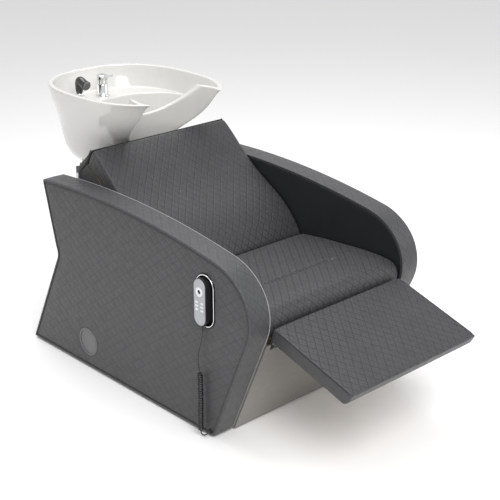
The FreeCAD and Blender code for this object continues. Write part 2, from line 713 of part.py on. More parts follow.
# ---------------------------------------------------------------- waste and water
drain_parts = [
    cylinder("drain_flange", "33", "4", ("0", "$drain_y", "650")),
    cylinder("drain_tail", "$drain_radius - 0.3", "50", ("0", "$drain_y", "601")),
]
drain_bore = cylinder("drain_bore", "19", "80", ("0", "$drain_y", "590"))
cut("drain_fitting", fuse("drain_blank", drain_parts), drain_bore)
strainer_parts = [
    cylinder("strainer_cup", "18.5", "18", ("0", "$drain_y", "637")),
    cylinder("strainer_rim", "26", "2.5", ("0", "$drain_y", "654")),
    cylinder("strainer_knob", "4", "14", ("0", "$drain_y", "654")),
]
slots = []
for index in range(6):
    slot = box("strainer_slot_%d" % index, ("3", "8", "30"), ("-1.5", "$drain_y + 6", "636"))
    turn = Rotation(Vector(0, 0, 1), 60 * index)
    centre = Vector(0, size("drain_y"), 0)
    slot_at = centre + turn.multVec(Vector(-1.5, 6, 0))
    slot.setExpression("Placement.Base.x", None)
    slot.setExpression("Placement.Base.y", None)
    slot.Placement = Placement(Vector(slot_at.x, slot_at.y, 636), turn)
    slots.append(slot)
cut("hair_strainer", fuse("strainer_blank", strainer_parts), fuse("strainer_slots", slots))
fuse("drain_trap", [
    cylinder("trap_cup", "30", "90", ("0", "$drain_y", "470")),
    cylinder("trap_outlet", "$drain_hose_radius", "46", ("30", "$drain_y", "500"), "x"),
    cylinder("trap_neck", "18.5", "60", ("0", "$drain_y", "550")),
])
tube("drain_hose", [(76, 560, 500), (116, 560, 500), (150, 542, 472), (160, 510, 420), (162, 474, 364),
                    (162, 450, 306), (160, 446, 244), (158, 460, 182), (158, 482, 126), (158, 482, 60)],
     size("drain_hose_radius"))
HOT_ROUTE = [(16, 694, 769.5), (16, 694, 705), (20, 696, 650), (27, 687, 600), (37, 656, 556), (50, 616,
                                                                                                518),
             (60, 574, 466), (66, 522, 410), (68, 476, 350), (69, 458, 290), (70, 462, 230), (72, 480, 170),
             (76, 496, 100)]
supply = [tube("hot_supply_hose", HOT_ROUTE, size("hose_radius"))]
supply.append(tube("cold_supply_hose", [(12 - x, y, z) for x, y, z in HOT_ROUTE], size("hose_radius")))
group("water_supply_hoses", supply)
SHOWER_ROUTE = [(-92, 708, 809), (-92, 708, 745), (-93, 707, 680), (-92, 706, 610), (-92, 704, 540),
                (-63, 702, 511), (-23, 704, 511), (6, 708, 540), (6, 713, 610), (5, 713, 665), (6, 712,
                                                                                                715),
                (6, 712, 769.5)]
tube("shower_hose", SHOWER_ROUTE, size("hose_radius"))

mixer = [
    cylinder("mixer_base", "26", "6", ("$mixer_x", "$mixer_y", "$deck_z")),
    cylinder("mixer_barrel", "21", "44", ("$mixer_x", "$mixer_y", "$deck_z")),
    cylinder("mixer_shank", "16", "70", ("$mixer_x", "$mixer_y", "$deck_z - 70")),
]
fuse("mixer_body", mixer)
cylinder("mixer_hub", "20", "16", ("$mixer_x", "$mixer_y", "$deck_z + 44.3"))
handle = [
    cylinder("mixer_cap", "21", "16", ("$mixer_x", "$mixer_y", "$deck_z + 60.6")),
    box("mixer_blade", ("18", "65", "8"), ("$mixer_x - 9", "$mixer_y - 59", "$deck_z + 75")),
    box("mixer_hinge_web", ("12", "12", "5"), ("$mixer_x - 6", "$mixer_y + 12", "$deck_z + 61.1")),
    cylinder("mixer_hinge_barrel", "3", "14", ("$mixer_x - 7", "$mixer_y + 24", "$deck_z + 63.6"), "x"),
]
fuse("mixer_lever", handle)

collar_outer = fuse("collar_blank", [
    cone("collar_cone", "19", "17", "24", ("$shower_x", "$shower_y", "$deck_z")),
    cylinder("collar_shank", "12.5", "50", ("$shower_x", "$shower_y", "$deck_z - 50")),
])
collar_bore = cylinder("collar_bore", "10.3", "120", ("$shower_x", "$shower_y", "$deck_z - 60"))
cut("shower_collar", collar_outer, collar_bore)
HEAD_DROP = 14
HEAD_LENGTH = 46
head_along = Vector(0, -math.cos(math.radians(HEAD_DROP)), -math.sin(math.radians(HEAD_DROP)))
elbow_at = Vector(size("shower_x"), size("shower_y") - 2, size("deck_z") + 68)
stem = Part.makeCylinder(10, 60, Vector(size("shower_x"), size("shower_y"), size("deck_z") - 30))
grip = Part.makeCone(13, 15, 44, Vector(size("shower_x"), size("shower_y") - 1, size("deck_z") + 24.3))
elbow = Part.makeSphere(15, elbow_at)
head = Part.makeCone(14, 18, HEAD_LENGTH, elbow_at, head_along)
feature("shower_handle", stem.multiFuse([grip, elbow, head]).removeSplitter())
feature("shower_spray_face", Part.makeCylinder(16, 4, elbow_at + head_along * HEAD_LENGTH, head_along))
fuse("deck_knob", [
    cylinder("knob_stem", "4", "20", ("$shower_x", "$shower_y - 30", "$deck_z - 10")),
    cylinder("knob_head", "6.5", "11", ("$shower_x", "$shower_y - 30", "$deck_z")),
])

# ---------------------------------------------------------------- handset and its holder
holder_centre = (size("holder_y"), size("holder_z"))
handset_centre = (size("handset_y"), size("handset_z"))
holder = body_prism(
    "remote_holder", "YZ_Plane", stadium(holder_centre, size("holder_length") - 0.4,
                                         size("holder_width") - 0.4),
    "25", ("-$half_width - 1", "0", "0"),
)
pocket_in(holder, stadium(holder_centre, size("holder_length") - 6, size("holder_width") - 6), "22", "-1",
          True)
body_prism("remote_body", "YZ_Plane", stadium(handset_centre, size("handset_length"),
                                              size("handset_width")),
           "28", ("$handset_face_x + 3", "0", "0"))
remote_face = body_prism(
    "remote_face", "YZ_Plane", stadium(handset_centre, size("handset_length") - 4,
                                       size("handset_width") - 4),
    "2.7", ("$handset_face_x + 0.3", "0", "0"),
)
RING_RISE = 34
KEY_ROWS = (-1, -13, -25)
KEY_COLUMN = 11.5
KEY_HALF_WIDTH = 5.5
KEY_HALF_HEIGHT = 3


def key_outline(at_y, at_z, margin):
    """A key's rectangle in the YZ plane, grown by a margin."""
    reach = KEY_HALF_WIDTH + margin
    rise = KEY_HALF_HEIGHT + margin
    return polygon([(at_y - reach, at_z - rise), (at_y - reach, at_z + rise), (at_y + reach, at_z + rise),
                    (at_y + reach, at_z - rise)])


key_centres = [(handset_centre[0] + c, handset_centre[1] + r) for r in KEY_ROWS for c in (-KEY_COLUMN,
                                                                                          KEY_COLUMN)]
ring_centre = (handset_centre[0], handset_centre[1] + RING_RISE)
wells = [cylinder("ring_well", "15.3", "10", ("$handset_face_x - 5", ring_centre[0], ring_centre[1]), "x")]
for index, (key_y, key_z) in enumerate(key_centres):
    outline = sketch_yz("key_well_outline_%d" % index, key_outline(key_y, key_z, 0.3))
    wells.append(extrude_x("key_well_%d" % index, outline, "$handset_face_x - 5", "10"))
remote_face.Label = "remote_face_blank"
face_cut = cut("remote_face_cut", remote_face, fuse("remote_wells", wells))
face_cut.Label = "remote_face"
ring_key = cut(
    "remote_ring_key",
    cylinder("ring_outer", "15", "2.4", ("$handset_face_x - 0.7", ring_centre[0], ring_centre[1]), "x"),
    cylinder("ring_inner", "7", "6", ("$handset_face_x - 3", ring_centre[0], ring_centre[1]), "x"),
)
for index, (key_y, key_z) in enumerate(key_centres, start=1):
    outline = key_outline(key_y, key_z, 0)
    body_prism("remote_button_%d" % index, "YZ_Plane", outline, "2.4", ("$handset_face_x - 0.7", "0", "0"))

# ---------------------------------------------------------------- handset cord
LEAD = [(-388, -297, 383), (-388, -297, 358), (-389, -293, 334), (-391, -288, 311), (-395, -284, 288),
        (-397, -283, 264), (-397, -286, 243), (-397, -291.8, 224.8)]
lead_top = tube("lead_to_handset", LEAD, size("lead_radius"))
CURL = [(-397, -292, 224), (-396.5, -293.5, 172), (-397, -294, 120), (-397.5, -293, 68), (-397, -292, 18)]
tube("remote_curly_cord", CURL, size("curl_radius"))
TAIL = [(-397, -292, 17.4), (-397, -294, 9.5), (-394, -301, 5.5), (-391, -309, 8), (-387, -314.5, 15),
        (-381, -317, 20.3), (-370, -317, 21)]
group("remote_lead", [lead_top, tube("lead_to_unit", TAIL, size("lead_radius"))])
gland_outer = fuse("cord_gland_blank", [
    cylinder("gland_flange", "$gland_radius + 1", "1.5", ("-$half_width - 1.5", "$gland_y", "$gland_z"),
             "x"),
    cylinder("gland_barrel", "$gland_radius - 0.1", "17", ("-$half_width", "$gland_y", "$gland_z"), "x"),
])
gland_bore = cylinder("gland_bore", "$lead_radius + 3.4", "50", ("-$half_width - 5", "$gland_y",
                                                                 "$gland_z"), "x")
cut("cord_gland", gland_outer, gland_bore)

# ---------------------------------------------------------------- access port
cut(
    "access_port_ring",
    cylinder("port_ring_outer", "$port_radius - 0.2", "24", ("-$half_width", "$port_y", "$port_z"), "x"),
    cylinder("port_ring_inner", "$cap_radius + 0.3", "30", ("-$half_width - 2", "$port_y", "$port_z"), "x"),
)
cylinder("access_cap", "$cap_radius", "12", ("-$half_width + 8", "$port_y", "$port_z"), "x")

# ---------------------------------------------------------------- check and write
NODES = ["%s_arm_%s" % (side, piece) for side in ("right", "left")
         for piece in ("core", "outer_cover", "inner_cover", "edge_band")]
NODES += ["floor_glides", "floor_frame", "seat_subframe", "seat_board", "seat_cushion",
          "backrest_cushion", "backrest_rear_pad", "backrest_ribs", "backrest_side_covers", "front_plinth",
          "rear_service_panel"]
NODES += ["footrest_board", "footrest_cushion", "footrest_hinge_shaft", "footrest_lift_lever",
          "lift_actuator_tube", "lift_actuator_motor", "lift_actuator_rod", "control_box"]
NODES += ["basin_column", "basin_cradle", "basin_pivot_pins", "tilt_lock_lever", "basin", "drain_fitting",
          "hair_strainer", "drain_trap", "drain_hose", "water_supply_hoses", "mixer_body", "mixer_hub",
          "mixer_lever", "shower_collar", "shower_handle", "shower_spray_face", "shower_hose", "deck_knob"]
NODES += ["remote_holder", "remote_body", "remote_face", "remote_ring_key"]
NODES += ["remote_button_%d" % index for index in range(1, 7)]
NODES += ["remote_lead", "remote_curly_cord", "cord_gland"]
NODES += ["access_port_ring", "access_cap"]

doc.recompute()
for obj in doc.Objects:
    if "Invalid" in obj.State or "Error" in obj.State:
        sys.exit("%s did not recompute: %s" % (obj.Name, obj.State))
for name in NODES:
    matches = doc.getObjectsByLabel(name)
    if len(matches) != 1:
        sys.exit("%s is not one object" % name)
    shape = matches[0].Shape
    if shape.isNull() or not shape.isValid() or not shape.Solids:
        sys.exit("%s has no sound shape" % name)
    shape.exportStep("parts/%s.step" % name)
print(len(NODES), "parts written")
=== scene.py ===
import math

import bmesh
import bpy
import numpy as np
from mathutils import Matrix, Vector, geometry


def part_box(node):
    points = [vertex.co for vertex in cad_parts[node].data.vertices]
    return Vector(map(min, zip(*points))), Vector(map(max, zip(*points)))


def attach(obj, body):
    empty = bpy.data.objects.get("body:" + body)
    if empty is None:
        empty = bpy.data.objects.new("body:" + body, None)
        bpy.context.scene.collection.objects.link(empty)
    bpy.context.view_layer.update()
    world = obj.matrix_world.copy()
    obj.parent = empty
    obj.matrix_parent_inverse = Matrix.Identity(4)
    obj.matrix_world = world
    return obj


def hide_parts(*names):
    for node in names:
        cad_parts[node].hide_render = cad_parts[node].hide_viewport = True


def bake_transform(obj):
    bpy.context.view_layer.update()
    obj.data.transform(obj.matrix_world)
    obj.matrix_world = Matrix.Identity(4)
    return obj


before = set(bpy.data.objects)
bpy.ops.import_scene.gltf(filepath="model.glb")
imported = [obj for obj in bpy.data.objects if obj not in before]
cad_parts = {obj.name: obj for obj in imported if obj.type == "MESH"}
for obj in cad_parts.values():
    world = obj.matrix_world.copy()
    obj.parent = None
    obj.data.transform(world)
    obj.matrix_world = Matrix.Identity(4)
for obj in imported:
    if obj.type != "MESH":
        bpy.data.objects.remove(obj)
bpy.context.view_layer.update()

# The looks of a salon backwash unit, in metres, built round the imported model: padded arm panels and
# cushions, the glazed basin with its taps, the handset with its curly cord, and the studio.

MM = 0.001


# ---------------------------------------- camera
def link(thing):
    bpy.context.scene.collection.objects.link(thing)
    return thing


CAMERA_PLACE = (-2.4706, -2.7308, 1.9010)
CAMERA_FORWARD = (0.6352, 0.6780, -0.3701)
CAMERA_UP = (0.2530, 0.2701, 0.9290)
LENS_MM = 84.35
SENSOR_MM = 36


def set_camera():
    forward = Vector(CAMERA_FORWARD).normalized()
    up = Vector(CAMERA_UP).normalized()
    right = forward.cross(up).normalized()
    turn = Matrix((right, up, -forward)).transposed()
    data = bpy.data.cameras.new("camera")
    data.lens = LENS_MM
    data.sensor_width = SENSOR_MM
    data.clip_end = 60
    camera = bpy.data.objects.new("camera", data)
    camera.matrix_world = Matrix.Translation(CAMERA_PLACE) @ turn.to_4x4()
    link(camera)
    bpy.context.scene.camera = camera


set_camera()


# ---------------------------------------- procedural materials
NOISE_SPAN = (0.3, 0.7)  # the values that a noise mostly stays between


class Graph:
    """One material's node tree, built with short calls."""

    def __init__(self, name, colour, roughness, metallic=0.0):
        self.material = bpy.data.materials.new(name)
        self.material.use_nodes = True
        self.tree = self.material.node_tree
        self.shader = self.tree.nodes["Principled BSDF"]
        self.shader.inputs["Base Color"].default_value = (*colour, 1)
        self.shader.inputs["Roughness"].default_value = roughness
        self.shader.inputs["Metallic"].default_value = metallic

    def set(self, **values):
        for name, value in values.items():
            self.shader.inputs[name.replace("_", " ")].default_value = value
        return self

    def node(self, kind):
        return self.tree.nodes.new("ShaderNode" + kind)

    def join(self, source, socket):
        if isinstance(source, (int, float)):
            socket.default_value = source
        else:
            self.tree.links.new(source, socket)

    def math(self, operation, first, second=0.0):
        node = self.node("Math")
        node.operation = operation
        self.join(first, node.inputs[0])
        self.join(second, node.inputs[1])
        return node.outputs[0]

    def ramp(self, value, low, high, to_low=0.0, to_high=1.0):
        node = self.node("MapRange")
        node.interpolation_type = "SMOOTHSTEP"
        self.join(value, node.inputs["Value"])
        for name, number in zip(("From Min", "From Max", "To Min", "To Max"), (low, high, to_low, to_high)):
            node.inputs[name].default_value = number
        return node.outputs["Result"]

    def place(self):
        return self.node("TexCoord").outputs["Object"]

    def pattern(self):
        """The piece's own pattern coordinates, in metres, as two values."""
        uv = self.node("UVMap")
        uv.uv_map = "pattern"
        split = self.node("SeparateXYZ")
        self.join(uv.outputs[0], split.inputs[0])
        return split.outputs["X"], split.outputs["Y"]

    def noise(self, scale, detail=3.0, stretch=(1, 1, 1)):
        mapping = self.node("Mapping")
        mapping.inputs["Scale"].default_value = stretch
        self.join(self.place(), mapping.inputs["Vector"])
        node = self.node("TexNoise")
        node.inputs["Scale"].default_value = scale
        node.inputs["Detail"].default_value = detail
        self.join(mapping.outputs[0], node.inputs["Vector"])
        return node.outputs["Fac"]

    def cells(self, scale):
        node = self.node("TexVoronoi")
        node.feature = "DISTANCE_TO_EDGE"
        node.inputs["Scale"].default_value = scale
        self.join(self.place(), node.inputs["Vector"])
        return node.outputs["Distance"]

    def blend(self, factor, first, second):
        """first where the factor is 0, second where it is 1; each a colour or a socket."""
        node = self.node("Mix")
        node.data_type = "RGBA"
        self.join(factor, node.inputs[0])
        for source, socket in ((first, node.inputs[6]), (second, node.inputs[7])):
            if isinstance(source, tuple):
                socket.default_value = (*source, 1)
            else:
                self.join(source, socket)
        return node.outputs[2]

    def colour(self, source):
        self.join(source, self.shader.inputs["Base Color"])
        return self

    def varied(self, factor, colour, low, high=1.0):
        """The base colour, wandering between two tints of itself."""
        return self.colour(self.blend(factor, tint(colour, low), tint(colour, high)))

    def worn(self, noise, low, high):
        """Roughness that follows a noise between two values."""
        value = self.ramp(noise, *NOISE_SPAN, low, high)
        self.join(value, self.shader.inputs["Roughness"])
        return self

    def bump(self, *layers):
        """Layers of (height, depth in metres), one on another."""
        normal = None
        for height, depth in layers:
            node = self.node("Bump")
            node.inputs["Distance"].default_value = depth
            self.join(height, node.inputs["Height"])
            if normal is not None:
                self.join(normal, node.inputs["Normal"])
            normal = node.outputs[0]
        self.join(normal, self.shader.inputs["Normal"])
        return self


def tint(colour, factor):
    return tuple(channel * factor for channel in colour)


def line_mask(graph, first, second, across, along, width):
    """1 on the lines of a diamond grid, 0 away from them; across and along are a diamond's diagonals."""
    u = graph.math("DIVIDE", first, across)
    v = graph.math("DIVIDE", second, along)
    spacing = across * along / math.hypot(across, along)
    masks = []
    for family in (graph.math("ADD", u, v), graph.math("SUBTRACT", u, v)):
        offset = graph.math("PINGPONG", family, 0.5)
        masks.append(graph.ramp(offset, 0.15 * width / spacing, width / spacing, 1.0, 0.0))
    return graph.math("MAXIMUM", *masks)


def leatherette(name, colour, roughness, quilt=None, line_depth=0.0, painted_groove_shade=1.0, grain=0.00008):
    """Embossed synthetic leather: pebble grain, soft mottling and, if asked, a diamond grid whose sewn
    lines carry painted shade.
    """
    graph = Graph(name, colour, roughness)
    mottle = graph.noise(14, 4)
    fine = graph.noise(900, 2)
    surface = graph.blend(graph.ramp(mottle, *NOISE_SPAN), tint(colour, 0.93), tint(colour, 1.07))
    pebble = graph.ramp(graph.cells(720), 0.0, 0.35)
    layers = [(pebble, grain), (fine, grain * 0.6)]
    if quilt:
        u, v = graph.pattern()
        main = line_mask(graph, u, v, *quilt, 0.0030)
        half = line_mask(graph, u, v, quilt[0] / 2, quilt[1] / 2, 0.0024)
        lines = graph.math("MAXIMUM", main, graph.math("MULTIPLY", half, 0.35))
        # painted shade: the sewn lines of the grid darkened by the given factor, broken up by a noise
        groove_shade_mask = graph.math("MULTIPLY", lines, graph.ramp(graph.noise(60, 2), 0.25, 0.6, 0.6, 1.0))
        surface = graph.blend(groove_shade_mask, surface, tint(colour, painted_groove_shade))
        layers.append((graph.math("SUBTRACT", 1.0, lines), line_depth))
    graph.colour(surface)
    graph.worn(graph.noise(40, 3), roughness - 0.05, roughness + 0.06)
    graph.bump(*layers)
    return graph.set(Specular_IOR_Level=0.45, Sheen_Weight=0.08, Sheen_Roughness=0.5).material


def moulded(name, colour, roughness, texture=0.00004, coat=0.0):
    """Moulded plastic with a fine spark-eroded texture and faint variation."""
    graph = Graph(name, colour, roughness)
    graph.varied(graph.noise(30, 3), colour, 0.94, 1.06)
    graph.worn(graph.noise(80, 4), roughness - 0.04, roughness + 0.05)
    graph.bump((graph.noise(1400, 2), texture))
    return graph.set(Coat_Weight=coat, Coat_Roughness=0.1).material


def metal(name, colour, roughness, brushed=(1, 1, 1), depth=0.00001):
    graph = Graph(name, colour, roughness, 1.0)
    graph.worn(graph.noise(120, 4, brushed), roughness * 0.8, roughness * 1.3)
    graph.varied(graph.noise(9, 3), colour, 0.96)
    graph.bump((graph.noise(400, 3, brushed), depth))
    return graph.material


def coated_steel(name, colour):
    """Powder-coated steel: a low orange-peel skin."""
    graph = Graph(name, colour, 0.42)
    graph.varied(graph.noise(18, 4), colour, 0.93, 1.06)
    graph.worn(graph.noise(50, 3), 0.36, 0.5)
    graph.bump((graph.noise(260, 2), 0.00008))
    return graph.material


def satin_panel(name, light, dark):
    """Brushed satin sheet, darkened towards its top edge by painted shade, as under the footrest."""
    graph = Graph(name, light, 0.4)
    split = graph.node("SeparateXYZ")
    graph.join(graph.place(), split.inputs[0])
    # painted shade: the sheet darkens from 0.1 m up to 0.33 m, where the footrest overhangs it
    fade = graph.ramp(split.outputs["Z"], 0.1, 0.33)
    streaks = graph.noise(60, 3, (0.6, 8, 8))
    shaded_tone = graph.blend(fade, light, dark)
    graph.colour(graph.blend(graph.math("MULTIPLY", streaks, 0.3), shaded_tone, tint(dark, 0.9)))
    graph.worn(streaks, 0.33, 0.46)
    graph.bump((streaks, 0.00003))
    return graph.set(Metallic=0.15).material


def glazed(name, colour):
    """Glazed vitreous china: glossy, with the faint waviness of a fired glaze."""
    graph = Graph(name, colour, 0.14)
    graph.varied(graph.noise(6, 3), colour, 0.985)
    graph.worn(graph.noise(25, 3), 0.1, 0.18)
    graph.bump((graph.noise(22, 2), 0.00012))
    return graph.set(Coat_Weight=0.5, Coat_Roughness=0.05, IOR=1.52).material


def plywood(name):
    colour = (0.42, 0.29, 0.17)
    graph = Graph(name, colour, 0.6)
    rings = graph.noise(24, 6, (1, 14, 14))
    graph.varied(graph.ramp(rings, 0.35, 0.65), colour, 0.72, 1.12)
    graph.bump((rings, 0.0002))
    return graph.material


def braided(name, colour, metallic, pitch):
    """Woven hose sleeve: two families of fine strands round the hose."""
    graph = Graph(name, colour, 0.35, metallic)
    u, v = graph.pattern()
    strands = line_mask(graph, u, v, pitch, pitch, pitch * 0.35)
    graph.varied(strands, colour, 1.0, 0.25)
    graph.worn(graph.noise(200, 3), 0.28, 0.45)
    graph.bump((graph.math("SUBTRACT", 1.0, strands), 0.0004))
    return graph.material


CHARCOAL = (0.036, 0.037, 0.039)
# the inner linings' own dark tone, deepened further by painted shade between the arms
NEAR_BLACK_WITH_SHADE = (0.006, 0.007, 0.009)
SEAT_QUILT = (31 * MM, 44.5 * MM)
BACK_QUILT = (31 * MM, 39.4 * MM)
SIDE_QUILT = (46.5 * MM, 33 * MM)

# the last number of each quilted leatherette is how far painted shade darkens its sewn lines
LEATHER_SEAT = leatherette("quilted_leatherette", CHARCOAL, 0.46, SEAT_QUILT, 0.0009, 0.2)
LEATHER_BACK = leatherette("back_leatherette", tint(CHARCOAL, 0.9), 0.44, BACK_QUILT, 0.0006, 0.35)
LEATHER_SIDE = leatherette("side_leatherette", CHARCOAL, 0.44, SIDE_QUILT, 0.0004, 0.6)
LEATHER_BAND = leatherette("band_leatherette", tint(CHARCOAL, 1.2), 0.42, SEAT_QUILT, 0.0004, 0.7)
LEATHER_PLAIN = leatherette("plain_leatherette", tint(CHARCOAL, 0.8), 0.46)
LEATHER_INNER = leatherette("inner_leatherette", NEAR_BLACK_WITH_SHADE, 0.36)
# the same piping twice: light grey as a painted highlight, near-black as painted shade in seams and gaps
PIPING_HIGHLIGHT = leatherette("piping_painted_highlight", (0.3, 0.3, 0.305), 0.4)
PIPING_SHADED = leatherette("piping_painted_shade", (0.010, 0.010, 0.011), 0.5)
CERAMIC = glazed("ceramic", (0.60, 0.595, 0.575))
CHROME = metal("chrome", (0.86, 0.87, 0.88), 0.07)
STEEL = metal("bright_steel", (0.62, 0.63, 0.65), 0.28, (1, 12, 1), 0.00003)
FRAME_STEEL = coated_steel("painted_steel", (0.045, 0.047, 0.05))
# the second colour is the painted shade towards the top edge, and also the tone of the streaks
PANEL = satin_panel("satin_panel", (0.235, 0.225, 0.208), (0.15, 0.145, 0.137))
BLACK_PLASTIC = moulded("black_plastic", (0.014, 0.014, 0.015), 0.32)
GREY_PLASTIC = moulded("grey_plastic", (0.12, 0.12, 0.123), 0.4)
HANDSET_GREY = moulded("handset_grey", (0.34, 0.35, 0.37), 0.35, 0.00003, 0.2)
KEY_WHITE = moulded("key_white", (0.68, 0.69, 0.7), 0.3)
MARK_DARK = moulded("mark_dark", (0.02, 0.02, 0.022), 0.4)
BLACK_GLOSS = moulded("black_gloss", (0.010, 0.010, 0.011), 0.16, 0.00001, 0.6)
CORD_BLACK = moulded("cord_black", (0.016, 0.016, 0.018), 0.26, 0.00003, 0.3)
BOARD = plywood("plywood")
STEEL_BRAID = braided("steel_braid", (0.55, 0.56, 0.58), 0.9, 3.2 * MM)
RUBBER = moulded("rubber", (0.03, 0.03, 0.032), 0.55, 0.0001)
WASTE_GREY = moulded("waste_grey", (0.33, 0.34, 0.35), 0.45)


# ---------------------------------------- flat outlines, as arrays of (y, z)
def side_loops(node, high=False):
    """The outlines of a node's flat end that looks along X, largest first, each counter-clockwise."""
    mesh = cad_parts[node].data
    places = [(round(v.co.x, 6), round(v.co.y, 6), round(v.co.z, 6)) for v in mesh.vertices]
    plane = max(p[0] for p in places) if high else min(p[0] for p in places)
    seen = {}
    for face in mesh.polygons:
        corners = [places[i] for i in face.vertices]
        if all(abs(p[0] - plane) < 2e-6 for p in corners):
            for a, b in zip(corners, corners[1:] + corners[:1]):
                key = frozenset((a, b))
                seen[key] = None if key in seen else (a, b)
    after = {pair[0]: pair[1] for pair in seen.values() if pair}
    loops = []
    while after:
        start, here = after.popitem()
        loop = [start]
        while here != start:
            loop.append(here)
            here = after.pop(here)
        loops.append(np.array([(p[1], p[2]) for p in loop]))
    loops = [loop if signed_area(loop) > 0 else loop[::-1] for loop in loops]
    return sorted(loops, key=signed_area, reverse=True)


def signed_area(loop):
    following = np.roll(loop, -1, axis=0)
    return 0.5 * float(np.sum(loop[:, 0] * following[:, 1] - following[:, 0] * loop[:, 1]))


def even(loop, step, passes):
    """The loop with evenly spaced points, its corners eased by a few passes of averaging."""
    closed = np.vstack([loop, loop[:1]])
    run = np.concatenate([[0], np.cumsum(np.linalg.norm(np.diff(closed, axis=0), axis=1))])
    count = max(12, int(round(run[-1] / step)))
    at = np.linspace(0, run[-1], count, endpoint=False)
    points = np.column_stack([np.interp(at, run, closed[:, axis]) for axis in (0, 1)])
    for _ in range(passes):
        points = 0.5 * points + 0.25 * (np.roll(points, 1, axis=0) + np.roll(points, -1, axis=0))
    return points


def outward(loop):
    """The outward normal at each point of a counter-clockwise loop."""
    along = np.roll(loop, -1, axis=0) - np.roll(loop, 1, axis=0)
    along /= np.linalg.norm(along, axis=1)[:, None]
    return np.column_stack([along[:, 1], -along[:, 0]])


def runs(loop):
    """The distance along the loop at each point, and once more at the end."""
    steps = np.linalg.norm(np.roll(loop, -1, axis=0) - loop, axis=1)
    return np.concatenate([[0], np.cumsum(steps)])


def inside(points, loop):
    found = np.zeros(len(points), bool)
    for (y0, z0), (y1, z1) in zip(loop, np.roll(loop, -1, axis=0)):
        if z0 != z1:
            crosses = (points[:, 1] < z0) != (points[:, 1] < z1)
            found ^= crosses & (points[:, 0] < y0 + (points[:, 1] - z0) * (y1 - y0) / (z1 - z0))
    return found


def distance_to(points, loop):
    nearest = np.full(len(points), np.inf)
    for start, end in zip(loop, np.roll(loop, -1, axis=0)):
        run = end - start
        share = np.clip((points - start) @ run / (run @ run), 0, 1)
        nearest = np.minimum(nearest, np.linalg.norm(points - start - share[:, None] * run, axis=1))
    return nearest


def diamonds(u, v, quilt):
    """0 on the lines of the diamond grid, 1 in the middle of each diamond."""
    first = u / quilt[0] + v / quilt[1]
    second = u / quilt[0] - v / quilt[1]
    near = np.minimum(np.abs(first - np.round(first)), np.abs(second - np.round(second)))
    return np.sin(np.clip(near * 2, 0, 1) * math.pi / 2)


# ---------------------------------------- meshes
class Shell:
    """Collects faces with their pattern coordinates, and makes one welded piece of them."""

    def __init__(self):
        self.verts = []
        self.faces = []
        self.uvs = []

    def grid(self, rows, us, vs, wrap=False):
        """Quads between rows of points. us gives one value a row, vs one value a point and one more."""
        first = len(self.verts)
        count = len(rows[0])
        for row in rows:
            self.verts += [tuple(p) for p in row]
        pairs = [(r, r + 1) for r in range(len(rows) - 1)]
        if wrap:
            pairs.append((len(rows) - 1, 0))
        for low, high in pairs:
            u_high = us[high] if high else us[len(rows)]
            for i in range(count):
                j = (i + 1) % count
                self.faces.append([first + low * count + i, first + low * count + j,
                                   first + high * count + j, first + high * count + i])
                self.uvs.append([(us[low], vs[i]), (us[low], vs[i + 1]),
                                 (u_high, vs[i + 1]), (u_high, vs[i])])

    def cap(self, row, flip=False):
        """One flat face that closes the end of a grid."""
        order = [len(self.verts) + k for k in range(len(row))]
        self.verts += [tuple(p) for p in row]
        self.faces.append(order[::-1] if flip else order)
        self.uvs.append([(0.0, 0.0)] * len(row))

    def flat(self, loops, pitch, x_of):
        """Fills the area between loops, the first being the outer one; x_of gives each point's x."""
        border = np.vstack(loops)
        low, high = border.min(axis=0), border.max(axis=0)
        rows = []
        for index, z in enumerate(np.arange(low[1] + pitch / 2, high[1], pitch * 0.87)):
            ys = np.arange(low[0] + pitch / 2 * (index % 2), high[0], pitch)
            rows.append(np.column_stack([ys, np.full(len(ys), z)]))
        field = np.vstack(rows)
        field = field[inside(field, loops[0])]
        for hole in loops[1:]:
            field = field[~inside(field, hole)]
        for loop in loops:
            field = field[distance_to(field, loop) > 0.55 * pitch]
        edges = []
        start = 0
        for loop in loops:
            edges += [(start + i, start + (i + 1) % len(loop)) for i in range(len(loop))]
            start += len(loop)
        points = [Vector(p) for p in np.vstack([border, field])]
        made = geometry.delaunay_2d_cdt(points, edges, [], 0, 1e-7)
        placed = np.array([tuple(p) for p in made[0]])
        triangles = np.array(made[2])
        middles = placed[triangles].mean(axis=1)
        keep = inside(middles, loops[0])
        for hole in loops[1:]:
            keep &= ~inside(middles, hole)
        first = len(self.verts)
        xs = x_of(placed)
        edge_gap = np.min([distance_to(placed, loop) for loop in loops], axis=0)
        xs = np.where(edge_gap < 1e-6, x_of.border, xs)
        self.verts += [(float(x), float(p[0]), float(p[1])) for x, p in zip(xs, placed)]
        for triangle in triangles[keep]:
            self.faces.append([first + int(i) for i in triangle])
            self.uvs.append([tuple(placed[i]) for i in triangle])

    def piece(self, name, material, sharp=None):
        mesh = bpy.data.meshes.new(name)
        mesh.from_pydata(self.verts, [], self.faces)
        layer = mesh.uv_layers.new(name="pattern")
        flat_uvs = [uv for face in self.uvs for uv in face]
        layer.data.foreach_set("uv", np.array(flat_uvs, dtype=np.float32).ravel())
        work = bmesh.new()
        work.from_mesh(mesh)
        bmesh.ops.remove_doubles(work, verts=work.verts, dist=1e-6)
        bmesh.ops.recalc_face_normals(work, faces=work.faces)
        work.to_mesh(mesh)
        work.free()
        mesh.shade_smooth()
        if sharp is not None:
            mesh.set_sharp_from_angle(angle=math.radians(sharp))
        mesh.materials.append(material)
        made = bpy.data.objects.new(name, mesh)
        return link(made)


